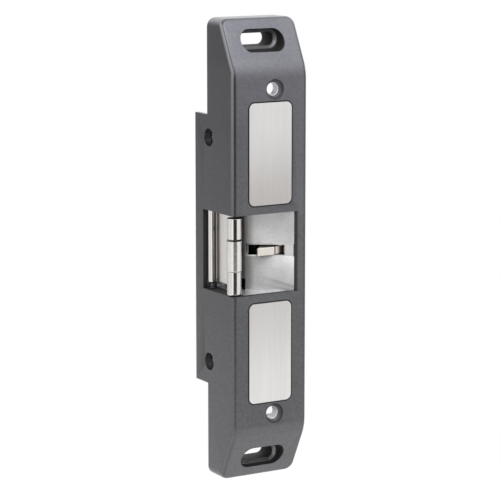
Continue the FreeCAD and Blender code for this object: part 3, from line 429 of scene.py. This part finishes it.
def circuitBoard(name, board):
    # Green mask with lighter tracks on a grid and tinned spots
    f = Finish(name, metal=0.0, specular=0.5, coat=0.4, coatRough=0.15)
    at = f.place((board["cells"],) * 3)
    cells = f.node("ShaderNodeTexVoronoi", {"distance": "CHEBYCHEV"}, {"Vector": at, "Scale": 1.0})
    tracks = cells.smooth(0.4, 0.46)
    spots = f.node("ShaderNodeTexVoronoi", None, {"Vector": at, "Scale": 1.0}).smooth(0.16, 0.12)
    f.wear(colour=f.tint(spots, f.tint(tracks, board["mask"], board["track"]), board["tin"]),
           metal=spots, rough=0.4 - spots * 0.12, normal=f.bump(tracks, 0.3, 0.05 * mm))
    return f.material


finishes = {
    "housing_paint": texturedPaint("housingPaint", paint),
    "plate_steel": brushedSteel("plateSteel", plateSteel),
    "liner_steel": blastedSteel("linerSteel", linerSteel),
    "keeper_steel": polishedMetal("keeperSteel", (0.8, 0.77, 0.745), 0.12, 0.04, (500, 500, 500),
                                  joint=(7.95 * mm, 8.2 * mm)),
    "roller_steel": polishedMetal("rollerSteel", (0.83, 0.8, 0.775), 0.24, 0.06, (500, 500, 500),
                                  joint=(7.3 * mm, 7.45 * mm)),
    "pin_steel": polishedMetal("pinSteel", (0.6, 0.6, 0.6), 0.2, 0.06),
    "slide_steel": polishedMetal("slideSteel", (0.42, 0.42, 0.43), 0.34, 0.1, (1400, 60, 60)),
    "plunger_steel": polishedMetal("plungerSteel", (0.55, 0.55, 0.56), 0.22, 0.1),
    "clip_steel": polishedMetal("clipSteel", (0.2, 0.2, 0.22), 0.35, 0.05),
    "frame_zinc": zincPlate("frameZinc", (0.6, 0.6, 0.57)),
    "coil_tape": windingTape("coilTape", winding),
    "bracket_zinc": zincPlate("bracketZinc", (0.55, 0.55, 0.55)),
    "screw_zinc": zincPlate("screwZinc", (0.62, 0.62, 0.62), 0.3),
    "lever_nickel": polishedMetal("leverNickel", (0.84, 0.78, 0.71), 0.36, 0.05, (60, 60, 900)),
    "magnet_nickel": polishedMetal("magnetNickel", (0.66, 0.65, 0.62), 0.2, 0.04),
    "board_green": circuitBoard("boardGreen", board),
    "sensor_black": moulded("sensorBlack", (0.018, 0.018, 0.02), 0.4),
    "cover_steel": zincPlate("coverSteel", (0.46, 0.46, 0.46), 0.42),
    "grommet_rubber": moulded("grommetRubber", (0.016, 0.016, 0.017), 0.62, 0.3 * mm, 0.03 * mm),
    "terminal_grey": moulded("terminalGrey", (0.24, 0.26, 0.25), 0.45),
    "clamp_brass": polishedMetal("clampBrass", (0.66, 0.5, 0.24), 0.3, 0.1),
    "spring_steel": polishedMetal("springSteel", (0.09, 0.09, 0.1), 0.4, 0.05),
}
slotOf = {s["node"]: s["material_slot"] for s in frame["record"]["subparts"]}
for name, obj in nodes.items():
    obj.data.materials.clear()
    obj.data.materials.append(finishes[slotOf[name]])
print("finishes ready:", len(finishes))


# Mesh helpers

def showPiece(name, mesh, body, slotName, replaced=(), smoothAngle=32):
    obj = bpy.data.objects.new(name, mesh)
    scene.collection.objects.link(obj)
    mesh.materials.clear()
    mesh.materials.append(finishes[slotName])
    mesh.shade_smooth()
    mesh.set_sharp_from_angle(angle=math.radians(smoothAngle))
    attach(obj, body)
    if replaced:
        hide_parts(*replaced)
    return obj


def tidyMesh(mesh, distance=1e-6, flatAngle=None):
    # Points closer than the distance merge, and faces flatter than the angle join
    shell = bmesh.new()
    shell.from_mesh(mesh)
    bmesh.ops.remove_doubles(shell, verts=shell.verts, dist=distance)
    if flatAngle:
        bmesh.ops.dissolve_limit(shell, angle_limit=math.radians(flatAngle),
                                 verts=shell.verts, edges=shell.edges)
    bmesh.ops.recalc_face_normals(shell, faces=shell.faces)
    shell.to_mesh(mesh)
    shell.free()
    return mesh


def castCopy(name, node, slotName, rim):
    # The node's own form, merged into one skin, with its sharp edges rounded by rim
    mesh = tidyMesh(nodes[node].data.copy(), 2e-6, flatAngle=0.4)
    mesh.name = name
    edge = showPiece(name, mesh, "strike_body", slotName, [node]).modifiers.new("edges", "BEVEL")
    edge.width, edge.segments = rim, 2
    edge.limit_method, edge.angle_limit = "ANGLE", math.radians(38)
    edge.use_clamp_overlap = True
    edge.harden_normals = True


def gridFaces(rows, columns, wrapRows=False):
    # Four-sided faces of a grid of points whose columns close into a ring, as index arrays
    r = np.arange(rows if wrapRows else rows - 1)[:, None]
    c = np.arange(columns)[None, :]
    r2, c2 = (r + 1) % rows, (c + 1) % columns
    around = [r * columns + c, r * columns + c2, r2 * columns + c2, r2 * columns + c]
    return np.stack(around, -1).reshape(-1, 4)


def roundCorners(corners, radius, steps=5, closed=False):
    # Each corner of a polyline gives way to a circular arc that touches both its sides
    p = np.asarray(corners, float)
    before, after = np.roll(p, 1, 0) - p, np.roll(p, -1, 0) - p
    lengthBefore, lengthAfter = np.linalg.norm(before, axis=1), np.linalg.norm(after, axis=1)
    b, a = before / lengthBefore[:, None], after / lengthAfter[:, None]
    half = np.arccos(np.clip((a * b).sum(1), -1, 1)) / 2
    radii = np.broadcast_to(np.asarray(radius, float), half.shape)
    back = np.minimum(radii / np.tan(half), 0.49 * np.minimum(lengthBefore, lengthAfter))
    real = back * np.tan(half)
    middle = a + b
    middle /= np.maximum(np.linalg.norm(middle, axis=1), 1e-12)[:, None]
    centre = p + middle * (real / np.sin(half))[:, None]
    start, end = p + b * back[:, None], p + a * back[:, None]
    t = np.linspace(0, 1, steps)[None, :, None]
    u, v = (start - centre)[:, None], (end - centre)[:, None]
    sweep = (math.pi - 2 * half)[:, None, None]
    arc = (np.sin((1 - t) * sweep) * u + np.sin(t * sweep) * v) / np.maximum(np.sin(sweep), 1e-9)
    arc += centre[:, None]
    if not closed:
        arc[0], arc[-1] = p[0], p[-1]
    return arc.reshape(-1, 2)


def heldEdges(path, reach=0.06 * mm, closed=False):
    # Long straight runs get a point near each end, so that smooth shading stays flat along them
    p = np.asarray(path, float)
    ahead = np.roll(p, -1, 0) if closed else p[1:]
    held = []
    for a, b in zip(p, ahead):
        run = np.linalg.norm(b - a)
        if run > 1e-7:
            held.append(a)
        if run > 5 * reach:
            held += [a + (b - a) * reach / run, b - (b - a) * reach / run]
    return np.array(held if closed else held + [p[-1]])


def besidePath(corners, distance):
    # Corners of the parallel line at a distance to the left of an open line
    p = np.asarray(corners, float)
    step = np.diff(p, axis=0)
    left = np.stack([-step[:, 1], step[:, 0]], -1) / np.linalg.norm(step, axis=1)[:, None]
    first, last = left[np.r_[0, np.arange(len(left))]], left[np.r_[np.arange(len(left)), -1]]
    return p + (first + last) * distance / (1 + (first * last).sum(1))[:, None]


def rodProfile(radius, low, high, edge, bore=0.0):
    # Section of a short rod or tube with rounded rims
    corners = [(bore, low), (radius, low), (radius, high), (bore, high)]
    if bore:
        return roundCorners(corners, [edge * 0.6, edge, edge, edge * 0.6], 5, closed=True)
    return roundCorners(corners, edge, 6)


def turnedShell(profile, centre, axis="z", steps=96, hollow=False):
    # Profile of (radius, height) pairs carried round an axis through centre
    profile = heldEdges(profile, closed=hollow)
    angle = np.linspace(0, 2 * np.pi, steps, endpoint=False)[None, :]
    radius, height = profile[:, :1], profile[:, 1:]
    across, up = radius * np.cos(angle), radius * np.sin(angle)
    along = height + 0 * angle
    order = {"y": (up, along, across), "z": (across, up, along)}[axis]
    points = np.stack(order, -1) + np.asarray(centre, float)
    return points.reshape(-1, 3), gridFaces(len(profile), steps, hollow).tolist()


def slab(outline, low, high, edge, plane="xy", steps=4):
    # Closed outline carried from low to high, with both rims rounded by edge. At angle a up a
    # rim the outline draws in by edge * (1 - sin a) and stands edge * (1 - cos a) from the end.
    p = heldEdges(outline, closed=True)
    ahead, behind = np.roll(p, -1, 0) - p, p - np.roll(p, 1, 0)
    ahead, behind = (v / np.linalg.norm(v, axis=1)[:, None] for v in (ahead, behind))
    turnWay = np.sign(np.sum(p[:, 0] * np.roll(p[:, 1], -1) - p[:, 1] * np.roll(p[:, 0], -1)))
    out = np.stack([(ahead + behind)[:, 1], -(ahead + behind)[:, 0]], -1) * turnWay
    out /= np.maximum((out * out).sum(1), 1e-9)[:, None] ** 0.5
    mitre = np.stack([ahead[:, 1], -ahead[:, 0]], -1) * turnWay
    out /= np.maximum((out * mitre).sum(1), 0.35)[:, None]
    a = np.linspace(0, np.pi / 2, steps)
    drawn, risen = edge * (1 - np.sin(a)), edge * (1 - np.cos(a))
    drawn, risen = np.r_[drawn[0] + 0.05 * mm, drawn, 0], np.r_[0, risen, edge + 0.05 * mm]
    inset = np.concatenate([drawn, drawn[::-1]])
    height = np.concatenate([low + risen, high - risen[::-1]])
    flat = p[None] - out[None] * inset[:, None, None]
    up = np.broadcast_to(height[:, None], flat.shape[:2])
    order = {"xy": (flat[..., 0], flat[..., 1], up), "xz": (flat[..., 0], up, flat[..., 1]),
             "yz": (up, flat[..., 0], flat[..., 1])}[plane]
    points = np.stack(order, -1)
    rows, columns = points.shape[:2]
    caps = [list(range(columns)), list(range((rows - 1) * columns, rows * columns))]
    return points.reshape(-1, 3), gridFaces(rows, columns).tolist() + caps


def coilShell(centre, radius, wire, low, high, turns, ring=8, perTurn=28):
    # Helix of round wire: (r cos t, r sin t, climb * t), its section spanned by the outward
    # and the upward direction; the end turns lie flat and each end is closed
    t = np.linspace(0, 1, int(turns * perTurn) + 1)
    flatEnd = 0.7 / turns
    climb = low + wire + (high - low - 2 * wire) * np.interp(t, [0, flatEnd, 1 - flatEnd, 1], [0, 0, 1, 1])
    angle = 2 * np.pi * turns * t
    out = np.stack([np.cos(angle), np.sin(angle), 0 * angle], -1)
    path = out * radius + np.stack([0 * t, 0 * t, climb], -1) + np.asarray(centre, float)
    closedEnds = np.r_[0, np.arange(len(t)), -1]
    path, out = path[closedEnds], out[closedEnds]
    swell = np.ones(len(path))
    swell[[0, -1]] = 0
    around = np.linspace(0, 2 * np.pi, ring, endpoint=False)[None, :, None]
    section = out[:, None] * np.cos(around) + np.array([0, 0, 1.0]) * np.sin(around)
    points = path[:, None] + swell[:, None, None] * wire * section
    return points.reshape(-1, 3), gridFaces(len(path), ring).tolist()


def screwShell(tip, way, axis, screw, steps=48):
    # Domed head above a plain shank. A cross is pressed in, and its depth falls off beyond its
    # half width and half length.
    headRadius, thick, shankRadius = screw["headRadius"], screw["headThick"], screw["shankRadius"]
    end, dome = -screw["length"], thick * 0.34
    reach = np.linspace(0, 0.86, 10)
    top = np.stack([reach * headRadius, -dome * reach ** 2], -1)
    rim = np.array([(0.94, -dome - 0.05 * thick), (1.0, -dome - 0.22 * thick), (1.0, -0.96 * thick),
                    (0.97, -thick)]) * [headRadius, 1]
    shank = np.array([(shankRadius, -thick), (shankRadius, 0.25 * shankRadius + end),
                      (shankRadius * 0.7, end), (0, end)])
    profile = np.concatenate([top, rim, shank])
    angle = np.linspace(0, 2 * np.pi, steps, endpoint=False)[None, :]
    radius, height = profile[:, :1], profile[:, 1:] + 0 * angle
    u, v = radius * np.cos(angle), radius * np.sin(angle)
    arm, span = screw["crossHalfWidth"], screw["crossHalfLength"]
    inArm = np.clip((arm - np.minimum(np.abs(u), np.abs(v))) / (0.4 * arm), 0, 1)
    inSpan = np.clip((span - np.hypot(u, v)) / (0.2 * span), 0, 1)
    onTop = (np.arange(len(profile)) < len(top))[:, None]
    along = way * (height - screw["crossDepth"] * inArm * inSpan * onTop)
    x, y, z = tip
    order = {"x": (x + along, y + u, z + v), "y": (x + v, y + along, z + u)}[axis]
    points = np.stack(order, -1)
    return points.reshape(-1, 3), gridFaces(*points.shape[:2]).tolist()


def shellPiece(name, shells, body, slotName, replaced=(), smoothAngle=40):
    verts, faces, start = [], [], 0
    for points, quads in shells:
        verts += np.asarray(points).tolist()
        faces += [[i + start for i in q] for q in quads]
        start = len(verts)
    mesh = bpy.data.meshes.new(name)
    mesh.from_pydata(verts, [], faces)
    return showPiece(name, tidyMesh(mesh), body, slotName, replaced, smoothAngle)


# Housing, liner and rear cover
castRims = {"housing": 0.22 * mm, "liner": 0.12 * mm, "cover": 0.18 * mm}
castCopy("housingCasting", "housing", "housing_paint", castRims["housing"])
castCopy("linerSheet", "pocket_liner", "liner_steel", castRims["liner"])
castCopy("coverSheet", "rear_cover", "cover_steel", castRims["cover"])
print("sheet and cast pieces made")

# Face plates: thin slabs with round corners and a broken edge
for side, way in (("upper", 1), ("lower", -1)):
    w, a, b = plate["halfWidth"], way * plate["inner"], way * plate["outer"]
    outline = roundCorners([(-w, a), (w, a), (w, b), (-w, b)], plate["corner"], 9, closed=True)
    shellPiece(side + "PlateSheet",
               [slab(outline, plate["front"], plate["front"] + plate["thick"], plate["edge"], "xz")],
               "strike_body", "plate_steel", [side + "_plate"])
print("face plates made")

# Keeper: two lugs on the nose, the barrel on its pin, the thin web between and the hidden heel
keeper = {
    "nose": (-17.45 * mm, -20.0 * mm, 0.0), "lugRadius": 3.5 * mm,
    "upperLow": 8.0 * mm, "upperTop": 18.55 * mm, "upperRims": [0, 0.14 * mm, 0.45 * mm, 0],
    "lowerLow": -19.55 * mm, "lowerTop": -7.87 * mm, "lowerRims": [0, 0.7 * mm, 0.08 * mm, 0],
    "rollerRadius": 3.7 * mm, "rollerLow": -7.58 * mm, "rollerTop": 7.45 * mm, "rollerRim": 0.2 * mm,
    "pinBore": 1.25 * mm,
    "pivot": (-16.5 * mm, 2.8 * mm, 0.0), "top": 19.55 * mm,
    "barrelRadius": 2.6 * mm, "barrelLow": -16.6 * mm, "barrelRim": 0.35 * mm,
    "webLeft": -15.4 * mm, "webRight": -13.9 * mm, "webFront": -18.5 * mm, "webBack": 2.8 * mm,
    "webLow": -16.4 * mm, "webCorner": 0.8 * mm, "webRound": 0.35 * mm, "webRim": 0.2 * mm,
    "tailFrom": 0.2 * mm, "tailRise": 1.7 * mm, "recessFront": -16.35 * mm, "recessHalf": 7.85 * mm,
    "hubRadius": 1.95 * mm, "hubSunk": 0.5 * mm, "hubRim": 0.2 * mm,
    "heelLow": 29.0 * mm, "heelTop": 33.0 * mm, "heelHalf": 1.5 * mm, "heelReach": 9.5 * mm,
    "heelRim": 0.3 * mm, "heelDrop": 0.02 * mm,
}
k = keeper
tailLow = k["webLow"] + k["tailRise"]
web = roundCorners(
    [(k["webFront"], k["webLow"]), (k["tailFrom"], k["webLow"]), (k["tailFrom"], tailLow),
     (k["webBack"], tailLow), (k["webBack"], k["top"]), (k["webFront"], k["top"]),
     (k["webFront"], k["recessHalf"]), (k["recessFront"], k["recessHalf"]),
     (k["recessFront"], -k["recessHalf"]), (k["webFront"], -k["recessHalf"])],
    [k["webRound"], k["webCorner"]] + [k["webRound"]] * 8, 6, closed=True)
heelX, heelY = k["pivot"][:2]
heel = [(heelX, heelY - k["heelHalf"]), (heelX + k["heelReach"], heelY - k["heelHalf"]),
        (heelX + k["heelReach"], heelY + k["heelHalf"]), (heelX, heelY + k["heelHalf"])]
shellPiece("keeperForm", [
    turnedShell(rodProfile(k["lugRadius"], k["upperLow"], k["upperTop"], k["upperRims"]), k["nose"]),
    turnedShell(rodProfile(k["lugRadius"], k["lowerLow"], k["lowerTop"], k["lowerRims"]), k["nose"]),
    turnedShell(rodProfile(k["barrelRadius"], k["barrelLow"], k["top"], k["barrelRim"]), k["pivot"]),
    slab(web, k["webLeft"], k["webRight"], k["webRim"], "yz"),
    turnedShell(rodProfile(k["hubRadius"], k["top"] - k["hubSunk"], k["heelTop"], k["hubRim"]), k["pivot"]),
    slab(heel, k["heelLow"], k["heelTop"] - k["heelDrop"], k["heelRim"]),
], "keeper_body", "keeper_steel", ["keeper"])
roller = rodProfile(k["rollerRadius"], k["rollerLow"], k["rollerTop"], k["rollerRim"], k["pinBore"])
shellPiece("keeperRoller", [turnedShell(roller, k["nose"], hollow=True)],
           "roller_body", "roller_steel", ["keeper_roller"])
print("keeper made")

# Monitor lever: face strip with a crease, the plate on top of it and the eye round its pin
lever = {"tip": -3.9 * mm, "front": -19.5 * mm, "bend": 6.1 * mm, "bendLead": 0.5 * mm, "bendReach": 0.8 * mm,
         "bendDepth": 1.0 * mm, "sheet": 0.9 * mm, "low": -1.7 * mm, "high": 2.1 * mm, "rim": 0.2 * mm,
         "outerRounds": [0, 0.5 * mm, 0.5 * mm, 0], "innerRounds": [0, 0.25 * mm, 0.9 * mm, 0],
         "hub": (11.5 * mm, -15.5 * mm, 0.0), "hubRadius": 2.4 * mm, "hubTop": 3.6 * mm, "hubRim": 0.25 * mm,
         "hubBore": 1.4 * mm, "hubRaise": 0.02 * mm,
         "planInset": 0.3 * mm, "planRound": 0.3 * mm, "planDrop": 0.05 * mm, "planRim": 0.1 * mm,
         "planBack": (5.0 * mm, 6.6 * mm)}
v = lever
hubX, hubY = v["hub"][:2]
crease = [(v["tip"], v["front"]), (v["bend"] - v["bendLead"], v["front"]),
          (v["bend"] + v["bendReach"], v["front"] + v["bendDepth"]), (hubX, hubY - v["hubRadius"])]
outer = roundCorners(crease, v["outerRounds"], 6)
inner = roundCorners(besidePath(crease, v["sheet"]), v["innerRounds"], 6)
strip = np.concatenate([outer, inner[::-1]])
planFront = v["front"] + v["planInset"]
plan = [(v["tip"] + 0.1 * mm, planFront), (v["bend"] - 0.6 * mm, planFront),
        (v["bend"] + 0.9 * mm, v["front"] + 1.4 * mm), (hubX, hubY - v["hubRadius"] + v["planInset"]),
        (hubX, hubY + v["hubRadius"]), (v["tip"] + v["planBack"][0], v["front"] + v["planBack"][1])]
plan = roundCorners(plan, v["planRound"], 4, closed=True)
eye = rodProfile(v["hubRadius"], v["low"] + v["hubRaise"], v["hubTop"], v["hubRim"], v["hubBore"])
shellPiece("leverForm", [
    slab(strip, v["low"], v["high"], v["rim"]),
    slab(plan, v["high"] - v["sheet"], v["high"] - v["planDrop"], v["planRim"]),
    turnedShell(eye, v["hub"], steps=64, hollow=True),
], "lever_body", "lever_nickel", ["monitor_lever"])
print("lever made")

# Screws: cross-headed ones in the two sides and at the back
sideScrew = {"faceX": -18.2 * mm, "y": -1.4 * mm, "height": 56 * mm,
             "headRadius": 3.5 * mm, "headThick": 2.4 * mm, "shankRadius": 2.0 * mm, "length": 9.4 * mm,
             "crossHalfWidth": 0.5 * mm, "crossHalfLength": 2.1 * mm, "crossDepth": 0.75 * mm}
tips = [(sideScrew["faceX"], sideScrew["y"], z * sideScrew["height"]) for z in (1, -1)]
shellPiece("sideScrewSet", [screwShell(tip, -1, "x", sideScrew) for tip in tips],
           "strike_body", "screw_zinc", ["side_screws"])
coverScrew = {"x": 14.6 * mm, "faceY": 1.6 * mm, "height": 67 * mm,
              "headRadius": 2.8 * mm, "headThick": 1.6 * mm, "shankRadius": 1.4 * mm, "length": 8.6 * mm,
              "crossHalfWidth": 0.4 * mm, "crossHalfLength": 1.7 * mm, "crossDepth": 0.5 * mm}
tips = [(x * coverScrew["x"], coverScrew["faceY"], z * coverScrew["height"]) for x in (-1, 1) for z in (-1, 1)]
shellPiece("coverScrewSet", [screwShell(tip, 1, "y", coverScrew) for tip in tips],
           "strike_body", "screw_zinc", ["cover_screws"])

# Grommet: two flared rims either side of the cover sheet, with a soft bore
grommet = {"place": (8 * mm, 0, -52 * mm), "bore": 2.5 * mm, "neck": 4.0 * mm, "flange": 5.4 * mm,
           "inner": -2.7 * mm, "sheet": (-1.5 * mm, 0.0), "outer": 1.2 * mm, "flare": 0.05 * mm}
g = grommet
section = [(g["bore"], g["inner"]), (g["flange"], g["inner"]), (g["flange"], g["sheet"][0] - g["flare"]),
           (g["neck"], g["sheet"][0]), (g["neck"], g["sheet"][1]), (g["flange"], g["sheet"][1] + g["flare"]),
           (g["flange"], g["outer"]), (g["bore"], g["outer"])]
rounds = np.array([0.5, 0.45, 0.3, 0.2, 0.2, 0.3, 0.55, 0.6]) * mm
shellPiece("grommetRing",
           [turnedShell(roundCorners(section, rounds, 6, closed=True), g["place"], "y", 72, hollow=True)],
           "strike_body", "grommet_rubber", ["cable_grommet"])

# Springs: radius is the coil's mean, wire the wire's own, low and high the coil's two ends
springs = {
    "keeper_spring": {"centre": (-16.5 * mm, 2.8 * mm, 0), "radius": 1.75 * mm, "wire": 0.35 * mm,
                      "low": -19.88 * mm, "high": -16.62 * mm, "turns": 4},
    "plunger_spring": {"centre": (-0.5 * mm, -10 * mm, 0), "radius": 3.75 * mm, "wire": 0.35 * mm,
                       "low": 41.52 * mm, "high": 49.98 * mm, "turns": 6},
    "lever_spring": {"centre": (11.5 * mm, -15.5 * mm, 0), "radius": 1.75 * mm, "wire": 0.3 * mm,
                     "low": 3.62 * mm, "high": 8.58 * mm, "turns": 5},
}
for node, spring in springs.items():
    name = node.replace("_s", "S") + "Wire"
    coil = shellPiece(name, [coilShell(**spring)], "strike_body", "spring_steel", [node], 60)
    if node == "plunger_spring":  # the slide's 4.5 mm lift takes up over half of its length
        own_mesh(coil)
print("screws, grommet and springs made")


# Stage: pale floor well below, white surroundings and a dark card beside the camera
stage = {"floorHeight": -0.3, "floorRadius": 1.1, "shadowRadius": (0.35, 0.8), "floorColour": 0.74}
turn = np.linspace(0, 2 * np.pi, 64, endpoint=False)
ring = np.stack([np.cos(turn), np.sin(turn), 0 * turn], -1) * stage["floorRadius"]
mesh = bpy.data.meshes.new("floor")
mesh.from_pydata((ring + [0, 0, stage["floorHeight"]]).tolist(), [], [list(range(len(ring)))])
floor = bpy.data.objects.new("floor", mesh)
scene.collection.objects.link(floor)
f = Finish("floorPale", rough=0.9, specular=0.2)
spread = f.node("ShaderNodeVectorMath", {"operation": "LENGTH"}, {0: f.place((1, 1, 0))}, "Value")
seen = f.ray("Camera").high(f.ray("Glossy")).high(f.ray("Transmission"))
haze = f.node("ShaderNodeEmission", None, {"Color": white, "Strength": 1.0})
mixed = f.node("ShaderNodeMixShader", None,
               {0: seen * spread.smooth(*stage["shadowRadius"]), 1: Flow(f, f.shader.outputs[0]), 2: haze})
f.wear(colour=f.tint(f.grain(f.place(), 30.0), grey(stage["floorColour"] * 0.98), grey(stage["floorColour"])))
f.feed(f.tree.nodes["Material Output"].inputs[0], mixed)
mesh.materials.append(f.material)

# Room: azimuth in degrees from the front, positive to the right, and height as the elevation's sine.
# The card is dark, the left a little dimmer; behind, edge and flank add light from those sides.
light = {"level": 0.94, "top": 1.0, "leftLevel": 0.76, "cardFrom": -38.0, "cardTo": 12.0, "cardSoft": 6.0,
         "cardLevel": 0.03, "behind": 0.3, "edge": 0.15, "flank": 0.25}
world = bpy.data.worlds.new("studio")
scene.world = world
world.use_nodes = True
room = Shading(world.node_tree)
x, y, z = room.axes(room.node("ShaderNodeTexCoord", output="Generated"))
azimuth = x.angleTo(0 - y) * (180 / math.pi)
card = azimuth.between(light["cardFrom"], light["cardTo"], light["cardSoft"]) * z.smooth(0.5, 0.3)
left = azimuth.size().smooth(150, 165).high(azimuth.smooth(-60, -80)) * z.smooth(0.5, 0.2)
behind = azimuth.smooth(105, 130) * z.between(0.1, 0.35, 0.15, 0.25)
edge = azimuth.between(-72, -52, 13, 8)
flank = azimuth.between(-118, -94, 12) * z.smooth(0.5, 0.3)
top = z.between(0.62, 0.72, 0.58, 0.2)
glow = (1 - card * (1 - light["cardLevel"])) * (1 - left * (1 - light["leftLevel"])) * (
    light["level"] + top * light["top"] + behind * light["behind"] + edge * light["edge"]
    + flank * light["flank"])
direct = room.ray("Camera")
background = world.node_tree.nodes["Background"]
room.feed(background.inputs["Color"], white)
room.feed(background.inputs["Strength"], direct + (1 - direct) * glow)


def aim(obj, direction):
    obj.rotation_mode = "QUATERNION"
    obj.rotation_quaternion = direction.to_track_quat("-Z", "Y")


# One soft lamp, aimed at the strike
keyLamp = {"place": (0.1, -0.75, 0.95), "size": 0.45, "power": 4.0}
lamp = bpy.data.lights.new("keyLamp", "AREA")
lamp.shape, lamp.size, lamp.energy = "SQUARE", keyLamp["size"], keyLamp["power"]
holder = bpy.data.objects.new("keyLamp", lamp)
scene.collection.objects.link(holder)
holder.location = keyLamp["place"]
aim(holder, -Vector(keyLamp["place"]))

# Camera, fitted to the photographed corners
lens = {"place": (-0.54294, -0.93166, 0.18991), "yaw": -30.379, "pitch": 10.087,
        "focal": 158.4, "sensor": 36.0}
camera = bpy.data.objects.new("camera", bpy.data.cameras.new("camera"))
scene.collection.objects.link(camera)
scene.camera = camera
camera.data.lens, camera.data.sensor_width = lens["focal"], lens["sensor"]
camera.location = lens["place"]
a, e = math.radians(lens["yaw"]), math.radians(lens["pitch"])
aim(camera, -Vector((math.sin(a) * math.cos(e), -math.cos(a) * math.cos(e), math.sin(e))))
scene.view_settings.view_transform = "Standard"
print("stage, lamp and camera ready")
